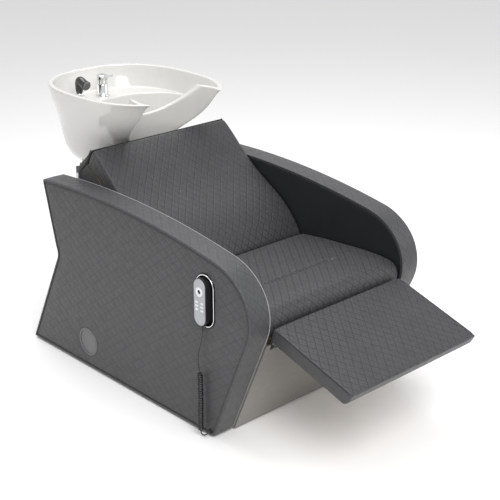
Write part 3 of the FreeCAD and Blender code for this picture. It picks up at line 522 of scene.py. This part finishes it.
class FaceAt:
    """The x of a padded end face: crowned outwards from its border, with the quilting on it."""

    def __init__(self, border, sign, loop, crown=0.0, reach=40 * MM, quilt=None, relief=0.0, holes=()):
        self.border = border
        self.sign = sign
        self.loop = loop
        self.crown = crown
        self.reach = reach
        self.quilt = quilt
        self.relief = relief
        self.holes = holes

    def __call__(self, points):
        depth = distance_to(points, self.loop)
        rise = self.crown * (1 - np.exp(-depth / self.reach))
        calm = np.clip(depth / (15 * MM), 0, 1)
        for hole in self.holes:
            near = distance_to(points, hole)
            rise = rise - self.crown * 0.5 * np.exp(-near / (9 * MM))
            calm = calm * np.clip(near / (15 * MM), 0, 1)
        if self.quilt:
            rise = rise + self.relief * calm * diamonds(points[:, 0], points[:, 1], self.quilt)
        return self.border + self.sign * rise


def angles_round(count):
    return [2 * math.pi * k / count for k in range(count)]


def bead_section(x, inset, thick):
    """A round bead, as (x, inset) points."""
    return [(x + thick * math.cos(a), inset + thick * math.sin(a)) for a in angles_round(8)]


def rounded_edge(radius, steps):
    """(how far in from the end, how far in from the side) down a rounded edge."""
    angles = [math.pi / 2 * step / steps for step in range(steps + 1)]
    return [(radius * (1 - math.sin(a)), radius * (1 - math.cos(a))) for a in reversed(angles)]


def padded_form(name, loop, low_x, high_x, material, low_edge, high_edge, pitch, lift=None, low_face=None,
                high_face=None, holes=(), face_pitch=None):
    """A closed padded solid: a side outline carried along X with rounded edges and filled ends."""
    normals = outward(loop)
    run = runs(loop)
    low_stations = [(low_x + far, inset) for far, inset in rounded_edge(low_edge, 4)]
    high_stations = [(high_x - far, inset) for far, inset in rounded_edge(high_edge, 4)][::-1]
    start, end = low_stations[-1][0], high_stations[0][0]
    inner = max(1, int((end - start) / pitch))
    middle = [(start + (end - start) * k / inner, 0.0) for k in range(1, inner)]
    stations = low_stations + middle + high_stations
    rows = []
    for x, inset in stations:
        ring = loop - normals * inset
        if lift is not None:
            ring = ring + normals * lift(x, loop, normals, run[:-1])[:, None]
        rows.append([(x, p[0], p[1]) for p in ring])
    shell = Shell()
    shell.grid(rows, [x for x, _ in stations], list(run))
    for face, row, x in ((low_face, rows[0], low_x), (high_face, rows[-1], high_x)):
        border = np.array([(p[1], p[2]) for p in row])
        at = face or FaceAt(x, 1, border)
        at.loop = border
        shell.flat([border, *holes], face_pitch or pitch, at)
    for hole in holes:
        walls = [[(x, p[0], p[1]) for p in hole] for x in (low_x, high_x)]
        shell.grid(walls, [low_x, high_x], list(runs(hole)))
    return shell.piece(name, material)


def section_sweep(name, loop, section, material, sharp=None):
    """A closed section of (x, inset) points carried once round a side outline."""
    normals = outward(loop)
    run = runs(loop)
    rows = [[(x, *(p - n * inset)) for x, inset in section] for p, n in zip(loop, normals)]
    spread = [0.0]
    for (x0, i0), (x1, i1) in zip(section, section[1:] + section[:1]):
        spread.append(spread[-1] + math.hypot(x1 - x0, i1 - i0))
    shell = Shell()
    shell.grid(rows, list(run), spread, wrap=True)
    swapped = [[(v, u) for u, v in face] for face in shell.uvs]
    shell.uvs = swapped
    return shell.piece(name, material, sharp)


def frames_along(path, closed=False):
    """For each point of a path: the point, and two directions square to it that don't twist."""
    points = [Vector(p) for p in path]
    count = len(points)
    result = []
    side = None
    for i, point in enumerate(points):
        if closed:
            along = points[(i + 1) % count] - points[i - 1]
        else:
            along = points[min(i + 1, count - 1)] - points[max(i - 1, 0)]
        along.normalize()
        if side is None:
            side = along.orthogonal().normalized()
        side = (side - along * side.dot(along)).normalized()
        result.append((point, side.copy(), along.cross(side)))
    return result


def tube(name, path, radius, material, sides=12, closed=False, sharp=None):
    """A round tube along a path; the radius is a number or a function of the distance run."""
    framed = frames_along(path, closed)
    run = [0.0]
    for (a, _, _), (b, _, _) in zip(framed, framed[1:]):
        run.append(run[-1] + (b - a).length)
    run.append(run[-1] + (framed[0][0] - framed[-1][0]).length)
    angles = angles_round(sides)
    rows = []
    for (point, one, two), s in zip(framed, run):
        r = radius(s) if callable(radius) else radius
        rows.append([point + (one * math.cos(a) + two * math.sin(a)) * r for a in angles])
    thick = radius(run[-2] / 2) if callable(radius) else radius
    shell = Shell()
    shell.grid(rows, run, [thick * a for a in angles] + [thick * 2 * math.pi], wrap=closed)
    if not closed:
        shell.cap(rows[0], flip=True)
        shell.cap(rows[-1])
    return shell.piece(name, material, sharp)


def turned(name, profile, centre, material, axis="z", sides=48, sharp=40):
    """A lathe-turned piece about Z or X. The profile is (radius, height) from end to end."""
    shell = Shell()
    rows = []
    for radius, height in profile:
        row = []
        for a in angles_round(sides):
            one, two = radius * math.cos(a), radius * math.sin(a)
            spot = (height, one, two) if axis == "x" else (one, two, height)
            row.append(Vector(spot) + Vector(centre))
        rows.append(row)
    shell.grid(rows, [h for _, h in profile], [k * 0.001 for k in range(sides + 1)])
    for row in (rows[0], rows[-1]):
        if (row[0] - row[1]).length > 1e-6:
            shell.cap(row)
    return shell.piece(name, material, sharp)


def mm_profile(level, *points):
    """Profile points in millimetres, their heights counted from a level in metres."""
    return [(radius * MM, level + up * MM) for radius, up in points]


def route_points(name, route, per_span=14):
    """Points read from the smooth NURBS line that a route's points control."""
    data = bpy.data.curves.new(name + "_route", "CURVE")
    data.dimensions = "3D"
    spline = data.splines.new("NURBS")
    spline.points.add(len(route) - 1)
    for point, at in zip(spline.points, route):
        point.co = (*at, 1)
    spline.order_u = 3
    spline.use_endpoint_u = True
    spline.resolution_u = per_span
    holder = bpy.data.objects.new(name + "_route", data)
    link(holder)
    mesh = bpy.data.meshes.new_from_object(holder)
    points = [v.co.copy() for v in mesh.vertices]
    bpy.data.objects.remove(holder)
    bpy.data.curves.remove(data)
    bpy.data.meshes.remove(mesh)
    return points


def resampled(points, step):
    """The same line with points a set distance apart."""
    run = [0.0]
    for a, b in zip(points, points[1:]):
        run.append(run[-1] + (b - a).length)
    count = max(2, int(round(run[-1] / step)))
    at = np.linspace(0, run[-1], count + 1)
    lines = np.array([tuple(p) for p in points])
    return [Vector([float(np.interp(s, run, lines[:, axis])) for axis in range(3)]) for s in at]


def mm_route(route):
    return [tuple(value * MM for value in point) for point in route]


# ---------------------------------------- putting pieces and nodes in place
def fit(piece, body, slot, *nodes):
    """The piece moves with a body and stands for these CAD nodes; the slot is not used."""
    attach(piece, body)
    if nodes:
        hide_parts(*nodes)
    return piece


def dress(node, material, bevel=0.0, segments=3):
    """A CAD node that stays: its material and softened edges."""
    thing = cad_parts[node]
    thing.data.materials.clear()
    thing.data.materials.append(material)
    if bevel:
        modifier = thing.modifiers.new("edges", "BEVEL")
        modifier.width = bevel
        modifier.segments = segments
        modifier.limit_method = "ANGLE"
        modifier.angle_limit = math.radians(35)
        modifier.harden_normals = False


# ---------------------------------------- arm panels
def build_arm(side, sign):
    outer_node = side + "_arm_outer_cover"
    loops = side_loops(outer_node, high=sign > 0)
    outline = even(loops[0], 5 * MM, 5)
    wide_enough = [loop for loop in loops[1:] if np.ptp(loop[:, 0]) > 30 * MM]
    holes = [even(loop, 4 * MM, 0) for loop in wide_enough]
    low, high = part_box(outer_node)
    ease = 2 * MM
    if sign < 0:
        near, far = low.x + ease, high.x
    else:
        near, far = high.x - ease, low.x
    face = FaceAt(near, sign, outline, 2.2 * MM, 45 * MM, SIDE_QUILT, 0.5 * MM, holes)
    back = FaceAt(far, -sign, outline)
    faces = {"low_face": face, "high_face": back} if sign < 0 else {"low_face": back, "high_face": face}
    edges = (7 * MM, 2 * MM) if sign < 0 else (2 * MM, 7 * MM)
    panel = padded_form(side + "_arm_outer_panel", outline, min(near, far), max(near, far), LEATHER_SIDE,
                        *edges, 6 * MM, holes=holes, **faces)
    fit(panel, "unit", "side_leatherette", outer_node)

    inner_node = side + "_arm_inner_cover"
    inner_loop = even(side_loops(inner_node)[0], 5 * MM, 5)
    low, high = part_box(inner_node)
    if sign < 0:
        at = {"high_face": FaceAt(high.x - ease, 1, inner_loop, 1.8 * MM, 45 * MM)}
        span = (low.x, high.x - ease, LEATHER_INNER, 2 * MM, 6 * MM)
    else:
        at = {"low_face": FaceAt(low.x + ease, -1, inner_loop, 1.8 * MM, 45 * MM)}
        span = (low.x + ease, high.x, LEATHER_INNER, 6 * MM, 2 * MM)
    lining = padded_form(side + "_arm_inner_panel", inner_loop, *span, 9 * MM, **at)
    fit(lining, "unit", "inner_leatherette", inner_node)

    band_node = side + "_arm_edge_band"
    low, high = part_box(band_node)
    middle = (low.x + high.x) / 2
    half = (high.x - low.x) / 2
    border = even(side_loops(band_node)[0], 5 * MM, 5)
    turn = 5 * MM
    shy = 0.8 * MM
    root, root_depth = 1.5 * MM, 8.6 * MM
    arc = [(turn * (1 - math.cos(a)), turn * (1 - math.sin(a)))
           for a in (math.pi / 12 * step for step in range(7))]
    section = [(middle - half + root, root_depth)]
    section += [(middle - half + shy + along, shy + deep) for along, deep in arc]
    section += [(middle + half * step / 5, (0.8 - 0.6 * math.cos(math.pi / 10 * step)) * MM)
                for step in range(-4, 5)]
    section += [(middle + half - shy - along, shy + deep) for along, deep in reversed(arc)]
    section.append((middle + half - root, root_depth))
    band = section_sweep(side + "_arm_edge_cover", border, section, LEATHER_BAND, 50)
    fit(band, "unit", "side_leatherette", band_node)
    near_edge = middle + sign * (half - 2.4 * MM)
    far_edge = middle - sign * (half - 0.9 * MM)
    # painted highlight on the near right arm's inner bead and painted shade on the far left one; the
    # near-black outer bead is painted shade in the gap between panel and band
    inner_bead_painted_light = PIPING_HIGHLIGHT if sign < 0 else PIPING_SHADED
    for label, x, inset, thick, material in (("outer", near_edge, 9.6 * MM, 2.2 * MM, PIPING_SHADED),
                                             ("inner", far_edge, 1.4 * MM, 1.2 * MM, inner_bead_painted_light)):
        bead = bead_section(x, inset, thick)
        piping = section_sweep("%s_arm_%s_piping" % (side, label), border, bead, material)
        fit(piping, "unit", "side_leatherette")
    dress(side + "_arm_core", BOARD)


build_arm("right", -1)
build_arm("left", 1)
dress("floor_glides", BLACK_PLASTIC, 1.2 * MM)


# ---------------------------------------- seat
SEAT_CHANNEL_Y = -326 * MM
SEAT_CHANNEL_HALF = 153 * MM


def build_seat():
    loop = even(side_loops("seat_cushion")[0], 5 * MM, 8)
    low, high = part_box("seat_cushion")
    half = (high.x - low.x) / 2

    def lift(x, points, normals, run):
        t = abs(x) / half
        fade = np.clip((1 - t) / 0.06, 0, 1)
        up = np.clip(normals[:, 1], 0, 1)
        crown = 3.2 * MM * (1 - t ** 4) * up - 1.2 * MM
        relief = 0.35 * MM * diamonds(np.full(len(run), x), run, SEAT_QUILT) * fade
        sewn = np.exp(-((points[:, 0] - SEAT_CHANNEL_Y) / (7 * MM)) ** 2) * up
        reach = 1 / (1 + math.exp((abs(x) - SEAT_CHANNEL_HALF) / (9 * MM)))
        return crown + relief - 9.5 * MM * sewn * reach

    seat = padded_form("seat_pad", loop, low.x + 1 * MM, high.x - 1 * MM, LEATHER_BACK, 9 * MM, 9 * MM,
                       6 * MM, lift, face_pitch=12 * MM)
    fit(seat, "unit", "quilted_leatherette", "seat_cushion")


# ---------------------------------------- backrest
def build_backrest():
    loop = even(side_loops("backrest_cushion")[0], 5 * MM, 6)
    low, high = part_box("backrest_cushion")
    half = (high.x - low.x) / 2

    def lift(x, points, normals, run):
        t = abs(x) / half
        fade = np.clip((1 - t) / 0.06, 0, 1)
        front = np.clip(normals[:, 1], 0, 1)
        crown = 3.0 * MM * (1 - t ** 4) * front - 1.2 * MM
        return crown + 0.3 * MM * diamonds(np.full(len(run), x), run, BACK_QUILT) * fade * (front > 0.2)

    back = padded_form("backrest_pad", loop, low.x + 1 * MM, high.x - 1 * MM, LEATHER_BACK, 7 * MM, 7 * MM,
                       6 * MM, lift, face_pitch=12 * MM)
    fit(back, "unit", "quilted_leatherette", "backrest_cushion")

    rear_loop = even(side_loops("backrest_rear_pad")[0], 4 * MM, 4)
    rear_low, rear_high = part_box("backrest_rear_pad")
    rear = padded_form("backrest_rear_cover", rear_loop, rear_low.x + 1 * MM, rear_high.x - 1 * MM,
                       LEATHER_PLAIN, 6 * MM, 6 * MM, 9 * MM, face_pitch=9 * MM)
    fit(rear, "unit", "quilted_leatherette", "backrest_rear_pad")

    dress("backrest_ribs", BOARD, 1 * MM)
    dress("backrest_side_covers", LEATHER_PLAIN, 1.2 * MM)
    outline = even(side_loops("backrest_side_covers")[0], 6 * MM, 0)
    thick = 1.8 * MM
    for side, x in (("right", low.x + thick), ("left", high.x - thick)):
        # the seam beads are real seams, coloured near-black as painted shade along them
        bead = bead_section(x, 0.0, thick)
        seam = section_sweep(side + "_backrest_seam", outline, bead, PIPING_SHADED)
        fit(seam, "unit", "quilted_leatherette")


# ---------------------------------------- footrest
def build_footrest():
    node = "footrest_cushion"
    full = side_loops(node)[0]
    loop = even(full, 4.5 * MM, 2)
    low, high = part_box(node)
    half = (high.x - low.x) / 2
    slope = footrest_slope(full)
    up = np.array([-math.sin(slope), math.cos(slope)])
    along = np.array([-math.cos(slope), -math.sin(slope)])

    def lift(x, points, normals, run):
        t = abs(x) / half
        top = np.clip(normals @ up, 0, 1)
        fade = np.clip((1 - t) / 0.05, 0, 1)
        crown = 2.6 * MM * (1 - t ** 4) * top - 1.0 * MM
        return crown + 0.45 * MM * diamonds(np.full(len(run), x), run, SEAT_QUILT) * fade * top

    pad = padded_form("footrest_pad", loop, low.x + 1 * MM, high.x - 1 * MM, LEATHER_SEAT, 6 * MM, 6 * MM,
                      6 * MM, lift, face_pitch=9 * MM)
    pad.data.materials.append(LEATHER_PLAIN)
    for face in pad.data.polygons:
        if face.normal.y * up[0] + face.normal.z * up[1] < 0.6:
            face.material_index = 1
    fit(pad, "footrest", "quilted_leatherette", node)

    heights = full @ up
    top_level = heights.max()
    top_points = full[heights > top_level - 1 * MM]
    reach = top_points @ along
    rear = top_points[reach.argmin()]
    front = top_points[reach.argmax()]
    inner = 4 * MM
    corners = [(low.x + inner, rear + along * inner), (high.x - inner, rear + along * inner),
               (high.x - inner, front - along * inner), (low.x + inner, front - along * inner)]
    path = []
    for index, (x, place) in enumerate(corners):
        next_x, next_place = corners[(index + 1) % 4]
        for k in range(40):
            share = k / 40
            spot = place + (next_place - place) * share - up * 1.2 * MM
            path.append(Vector((x + (next_x - x) * share, *spot)))
    for _ in range(3):
        path = [(path[i - 1] + path[i] * 2 + path[(i + 1) % len(path)]) / 4 for i in range(len(path))]
    welt = tube("footrest_piping", path, 1.5 * MM, LEATHER_BAND, 8, closed=True)
    fit(welt, "footrest", "quilted_leatherette")
    # the seam under the welt is a near-black tube: painted shade in the crease below the welt
    below = [point - Vector((0, *up)) * 3.2 * MM for point in path]
    centre = sum(below, Vector()) / len(below)
    seam = [centre + (point - centre) * 1.006 for point in below]
    line = tube("footrest_seam", seam, 1.4 * MM, PIPING_SHADED, 8, closed=True)
    fit(line, "footrest", "quilted_leatherette")


def footrest_slope(loop):
    """How far the footrest's top leans, from its longest side."""
    steps = np.roll(loop, -1, axis=0) - loop
    longest = steps[np.linalg.norm(steps, axis=1).argmax()]
    return math.atan2(abs(longest[1]), abs(longest[0]))


build_seat()
build_backrest()
build_footrest()


# ---------------------------------------- basin
def build_basin():
    """The fired basin: the CAD bowl with every edge melted round, as glaze leaves it."""
    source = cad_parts["basin"]
    mesh = source.data.copy()
    mesh.name = "basin_shell"
    basin = bpy.data.objects.new("basin_shell", mesh)
    link(basin)
    remesh = basin.modifiers.new("voxels", "REMESH")
    remesh.mode = "VOXEL"
    remesh.voxel_size = 3.0 * MM
    melt = basin.modifiers.new("melt", "SMOOTH")
    melt.factor = 0.5
    melt.iterations = 6
    depsgraph = bpy.context.evaluated_depsgraph_get()
    baked = bpy.data.meshes.new_from_object(basin.evaluated_get(depsgraph))
    basin.modifiers.clear()
    basin.data = baked
    baked.materials.clear()
    baked.materials.append(CERAMIC)
    baked.shade_smooth()
    fit(basin, "basin", "ceramic", "basin")


build_basin()


# ---------------------------------------- taps
def build_mixer():
    low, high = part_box("mixer_body")
    hub_low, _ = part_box("mixer_hub")
    lever_low, lever_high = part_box("mixer_lever")
    centre = ((low.x + high.x) / 2, (low.y + high.y) / 2, 0)
    deck = hub_low.z - 44.3 * MM
    base = 26 * MM
    barrel = 21 * MM
    profile = [(16 * MM, low.z), (16 * MM, deck + 0.2 * MM), (base - 1 * MM, deck + 0.2 * MM),
               (base, deck + 1.5 * MM), (base - 0.6 * MM, deck + 4 * MM),
               (barrel + 1.5 * MM, deck + 6.5 * MM), (barrel, deck + 9 * MM),
               (barrel, hub_low.z - 3 * MM), (barrel - 1 * MM, hub_low.z - 1 * MM),
               (barrel - 3 * MM, hub_low.z - 0.3 * MM)]
    body = turned("mixer_barrel", profile, centre, CHROME)
    fit(body, "basin", "chrome", "mixer_body")
    dress("mixer_hub", CHROME, 1.2 * MM)

    top = lever_low.z
    cap_profile = mm_profile(top, (17, 0), (21, 1), (21, 11), (19.5, 14.5), (15, 16.6), (8, 17.6),
                             (0.1, 18))
    cap = turned("mixer_cap", cap_profile, centre, CHROME, sharp=60)
    fit(cap, "mixer_handle", "chrome", "mixer_lever")
    reach = centre[1] - lever_low.y
    rows, us = [], []
    for k in range(15):
        share = k / 14
        y = centre[1] - 8 * MM - (reach - 8 * MM) * share
        z = top + 12 * MM + 9 * MM * share ** 1.6
        wide = (10.5 - 3.0 * share) * MM
        thick = (4.2 - 1.6 * share) * MM
        if k == 14:
            wide, thick = wide * 0.7, thick * 0.6
        rows.append([(centre[0] + wide * math.copysign(abs(math.cos(a)) ** 0.7, math.cos(a)), y,
                      z + thick * math.sin(a)) for a in angles_round(20)])
        us.append(reach * share)
    shell = Shell()
    shell.grid(rows, us, [j * MM for j in range(21)])
    shell.cap(rows[0])
    shell.cap(rows[-1])
    blade = shell.piece("mixer_blade", CHROME, 50)
    fit(blade, "mixer_handle", "chrome")
    dot_profile = mm_profile(top, (3.2, 16.6), (3.2, 18.2), (2.4, 18.7), (0.1, 18.9))
    dot = turned("mixer_marker", dot_profile, centre, MARK_DARK, sides=24)
    fit(dot, "mixer_handle", "chrome")
    half = 7 * MM
    left, right = centre[0] - half, centre[0] + half
    hinge_profile = [(0.1 * MM, left), (2.4 * MM, left), (3 * MM, left + 0.6 * MM),
                     (3 * MM, right - 0.6 * MM), (2.4 * MM, right), (0.1 * MM, right)]
    hinge_at = (0, lever_high.y - 3 * MM, top + 3 * MM)
    hinge = turned("mixer_hinge", hinge_profile, hinge_at, CHROME, "x", 24)
    fit(hinge, "mixer_handle", "chrome")


def build_shower():
    collar_low, collar_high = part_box("shower_collar")
    spray_low, spray_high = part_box("shower_spray_face")
    x = (collar_low.x + collar_high.x) / 2
    y = (collar_low.y + collar_high.y) / 2
    deck = collar_high.z - 24 * MM
    above = mm_profile(deck, (12.5, 0.3), (18.6, 0.3), (19.6, 1.5), (19.2, 4), (18, 10), (17.4, 18),
                       (17, 22), (15.5, 24), (11.4, 23.6), (10.4, 20))
    profile = [(above[0][0], collar_low.z), *above, (above[-1][0], collar_low.z)]
    collar = turned("shower_collar_shell", profile, (x, y, 0), CHROME)
    fit(collar, "basin", "chrome", "shower_collar")
    dress("deck_knob", CHROME, 1.5 * MM)

    face_at = (spray_low + spray_high) / 2
    elbow = Vector((x, y - 2 * MM, deck + 68 * MM))
    along = (face_at - elbow).normalized()
    rise = mm_route([(0, 0, -30), (0, 0, 0), (0, 0, 24), (0, -0.5, 44), (0, -1, 64), (0, -10, 72)])
    spine = [Vector((x, y, deck)) + Vector(p) for p in rise]
    spine += [face_at - along * 20 * MM, face_at - along * 2 * MM]
    line = resampled(route_points("shower", spine), 3 * MM)
    total = sum((b - a).length for a, b in zip(line, line[1:]))
    hidden = 54 * MM

    def thickness(s):
        shown = max(0.0, (s - hidden) / (total - hidden))
        shoulder = 1 / (1 + math.exp(-(s - hidden - 2 * MM) / (1.4 * MM)))
        return 9.6 * MM + shoulder * (3.6 + 4.4 * shown) * MM

    grip = tube("shower_grip", line, thickness, BLACK_GLOSS, 32, sharp=60)
    fit(grip, "hand_shower", "black_plastic", "shower_handle")
    rim = 16 * MM

    def lip(s):
        return rim - 3 * MM * min(1.0, s / (4.4 * MM)) ** 3

    face_line = [face_at + along * (-2 + 0.55 * k) * MM for k in range(9)]
    rose = tube("shower_rose", face_line, lip, GREY_PLASTIC, 32, sharp=50)
    fit(rose, "hand_shower", "black_plastic", "shower_spray_face")
    _, one, two = frames_along([face_at, face_at + along])[0]
    nozzles = Shell()
    for ring, count in ((4, 6), (8, 12), (11.5, 16)):
        for k in range(count):
            angle = 2 * math.pi * k / count
            spot = face_at + along * 2.4 * MM + (one * math.cos(angle) + two * math.sin(angle)) * ring * MM
            rows = []
            for wide, out in ((0.9, 0.0), (0.8, 0.8), (0.5, 1.2), (0.05, 1.2)):
                rows.append([spot + along * out * MM + (one * math.cos(a) + two * math.sin(a)) * wide * MM
                             for a in angles_round(8)])
            nozzles.grid(rows, [0, 0.001, 0.002, 0.003], [0.001 * j for j in range(9)])
    tips = nozzles.piece("shower_nozzles", RUBBER)
    fit(tips, "hand_shower", "black_plastic")


build_mixer()
build_shower()


# ---------------------------------------- plumbing
# The control points of hoses and cord are millimetres, from the upper end to the lower one.
HOT_ROUTE = [(16, 694, 769.5), (16, 694, 705), (20, 696, 650), (27, 687, 600), (37, 656, 556),
             (50, 616, 518), (60, 574, 466), (66, 522, 410), (68, 476, 350), (69, 458, 290),
             (70, 462, 230), (72, 480, 170), (76, 496, 100)]
COLD_ROUTE = [(12 - x, y, z) for x, y, z in HOT_ROUTE]
SHOWER_ROUTE = [(-92, 708, 809), (-92, 708, 745), (-93, 707, 680), (-92, 706, 610), (-92, 704, 540),
                (-63, 702, 511), (-23, 704, 511), (6, 708, 540), (6, 713, 610), (5, 713, 665),
                (6, 712, 715), (6, 712, 769.5)]
DRAIN_ROUTE = [(76, 560, 500), (116, 560, 500), (150, 542, 472), (160, 510, 420), (162, 474, 364),
               (162, 450, 306), (160, 446, 244), (158, 460, 182), (158, 482, 126), (158, 482, 60)]


def bend_with_tilt(piece):
    """A hose between the base below and the basin above, its placement baked into its mesh; it follows
    neither.
    """
    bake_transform(piece)


def build_hoses():
    for name, route in (("hot_hose", HOT_ROUTE), ("cold_hose", COLD_ROUTE)):
        line = resampled(route_points(name, mm_route(route)), 5 * MM)
        hose = tube(name, line, 6 * MM, STEEL_BRAID, 14)
        if name == "hot_hose":
            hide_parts("water_supply_hoses")
        bend_with_tilt(hose)
        for label, body, ends in (("_top_ferrule", "basin", [line[0], line[3]]),
                                  ("_low_ferrule", "unit", [line[-1], line[-4]])):
            sleeve = tube(name + label, ends, 7.2 * MM, STEEL, 18, sharp=40)
            fit(sleeve, body, "bright_steel")
    line = resampled(route_points("shower_hose_line", mm_route(SHOWER_ROUTE)), 4 * MM)
    hose = tube("shower_supply_hose", line, 6 * MM, STEEL_BRAID, 14)
    fit(hose, "basin", "bright_steel", "shower_hose")
    step = 1.6 * MM
    line = resampled(route_points("drain_line", mm_route(DRAIN_ROUTE)), step)
    ripple = 6.4 * MM
    length = step * (len(line) - 1)

    def radius(s):
        plain = s < 26 * MM or s > length - 30 * MM
        return 20 * MM if plain else 18.9 * MM + 1.1 * MM * math.cos(2 * math.pi * s / ripple)

    drain = tube("drain_pipe", line, radius, WASTE_GREY, 24)
    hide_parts("drain_hose")
    bend_with_tilt(drain)


build_hoses()
for node, material, bevel in (  # the bevel is in millimetres
    ("drain_fitting", CHROME, 0.8), ("hair_strainer", CHROME, 0.5), ("drain_trap", WASTE_GREY, 1.5),
    ("basin_column", FRAME_STEEL, 1.5), ("basin_cradle", FRAME_STEEL, 1.2),
    ("basin_pivot_pins", STEEL, 0.8), ("tilt_lock_lever", BLACK_PLASTIC, 1.5),
    ("floor_frame", FRAME_STEEL, 2.0), ("seat_subframe", FRAME_STEEL, 2.0), ("seat_board", BOARD, 1.0),
    ("footrest_board", BOARD, 1.0), ("footrest_hinge_shaft", STEEL, 0.8),
    ("footrest_lift_lever", STEEL, 0.8), ("lift_actuator_tube", STEEL, 0.8),
    ("lift_actuator_motor", GREY_PLASTIC, 2.0), ("lift_actuator_rod", CHROME, 0.8),
    ("control_box", BLACK_PLASTIC, 2.5), ("front_plinth", PANEL, 1.0), ("rear_service_panel", PANEL, 1.0),
):
    dress(node, material, bevel * MM)


# ---------------------------------------- handset, its holder and its cord
def build_handset():
    dress("remote_body", BLACK_PLASTIC, 4.0 * MM, 5)
    dress("remote_face", HANDSET_GREY, 0.7 * MM)
    dress("remote_ring_key", KEY_WHITE, 0.9 * MM)
    for index in range(1, 7):
        dress("remote_button_%d" % index, KEY_WHITE, 0.8 * MM)
    dress("remote_holder", BLACK_PLASTIC, 0.6 * MM)
    outline = even(side_loops("remote_holder")[0], 4 * MM, 0)
    low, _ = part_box("remote_holder")
    normals = outward(outline)
    around = angles_round(12)
    rows = []
    for point, normal in zip(outline, normals):
        wide = (1.0 + 1.7 * normal[1] ** 2) * MM
        rows.append([(low.x - 0.4 * MM + 2.0 * MM * math.cos(a),
                      *(point - normal * wide * (1 + math.sin(a)))) for a in around])
    shell = Shell()
    shell.grid(rows, list(runs(outline)), [2 * MM * a for a in around] + [4 * math.pi * MM], wrap=True)
    rim = shell.piece("holder_rim", CHROME)
    fit(rim, "unit", "chrome")
    dress("access_cap", GREY_PLASTIC, 1.5 * MM)
    dress("access_port_ring", BLACK_PLASTIC, 0.8 * MM)
    ring_low, ring_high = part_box("access_port_ring")
    centre = (0, (ring_low.y + ring_high.y) / 2, (ring_low.z + ring_high.z) / 2)
    radius = (ring_high.y - ring_low.y) / 2
    profile = [(radius + out * MM, ring_low.x + along * MM) for out, along in (
        (-4.6, 2), (-4, -0.8), (-1, -2), (2.2, -1.2), (3, 0.8), (2, 1.6))]
    trim = turned("port_trim", profile, centre, GREY_PLASTIC, "x", 64, 60)
    fit(trim, "unit", "grey_panel")


LEAD = [(-388, -297, 383), (-388, -297, 358), (-389, -293, 334), (-391, -288, 311), (-395, -284, 288),
        (-397, -283, 264), (-397, -286, 243), (-397, -291.8, 224.8)]
CURL = [(-397, -292, 224), (-396.5, -293.5, 172), (-397, -294, 120), (-397.5, -293, 68), (-397, -292, 18)]
TAIL = [(-397, -292, 17.4), (-397, -294, 9.5), (-394, -301, 5.5), (-391, -309, 8), (-387, -314.5, 15),
        (-381, -317, 20.3), (-370, -317, 21)]
WIRE = 4 * MM
CURL_RADIUS = 9.5 * MM
CURL_PITCH = 6 * MM
CURL_STEP = 0.5 * MM
CURL_EASE = 10 * MM  # the run over which the helix opens and closes


def build_cord():
    """A plain lead out of the handset, a helix that eases in and out, and a plain tail to the unit."""
    lead = resampled(route_points("lead", mm_route(LEAD)), 3 * MM)
    centre = resampled(route_points("curl", mm_route(CURL)), CURL_STEP)
    length = CURL_STEP * (len(centre) - 1)
    path = list(lead[:-1])
    for index, (point, one, two) in enumerate(frames_along(centre)):
        s = CURL_STEP * index
        swell = min(1.0, s / CURL_EASE, (length - s) / CURL_EASE)
        reach = (CURL_RADIUS - WIRE / 2) * math.sin(math.pi / 2 * max(0.0, swell))
        angle = 2 * math.pi * s / CURL_PITCH
        path.append(point + (one * math.cos(angle) + two * math.sin(angle)) * reach)
    path += resampled(route_points("tail", mm_route(TAIL)), 2 * MM)[1:]
    cord = tube("handset_cord", path, WIRE / 2, CORD_BLACK, 8)
    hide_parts("remote_lead", "remote_curly_cord")
    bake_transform(cord)
    start = lead[0] + Vector((0, 0, 3 * MM))
    relief = tube("cord_relief", [start, *lead[:7]], lambda s: (4.4 - 70 * s) * MM, BLACK_PLASTIC, 14)
    fit(relief, "handset", "black_plastic")
    dress("cord_gland", BLACK_PLASTIC, 0.5 * MM)


build_handset()
build_cord()


# ---------------------------------------- studio
def build_studio():
    bpy.ops.mesh.primitive_plane_add(size=30, location=(0, 0, -0.0005))
    floor = bpy.context.object
    floor.name = "floor"
    graph = Graph("floor", (0.88, 0.88, 0.88), 0.8)
    graph.colour(graph.blend(graph.noise(0.6, 2), (0.92, 0.92, 0.92), (0.94, 0.94, 0.94)))
    floor.data.materials.append(graph.material)
    world = bpy.data.worlds.new("studio")
    bpy.context.scene.world = world
    world.use_nodes = True
    sky = world.node_tree.nodes["Background"]
    sky.inputs["Color"].default_value = (1.0, 1.0, 1.0, 1)
    sky.inputs["Strength"].default_value = 0.72
    bpy.context.scene.view_settings.view_transform = "Standard"
    for name, at, toward, power, wide in (
        ("key", (-1.6, -2.8, 3.2), (0, 0, 0.3), 115, 2.2),
        ("fill", (2.8, -2.8, 2.2), (0, 0, 0.4), 30, 3.0),
        ("top", (0.3, 0.8, 3.6), (0, 0.2, 0.5), 70, 2.6),
    ):
        data = bpy.data.lights.new(name, "AREA")
        data.energy = power
        data.size = wide
        light = bpy.data.objects.new(name, data)
        light.location = at
        light.rotation_euler = (Vector(toward) - Vector(at)).to_track_quat("-Z", "Y").to_euler()
        link(light)


build_studio()
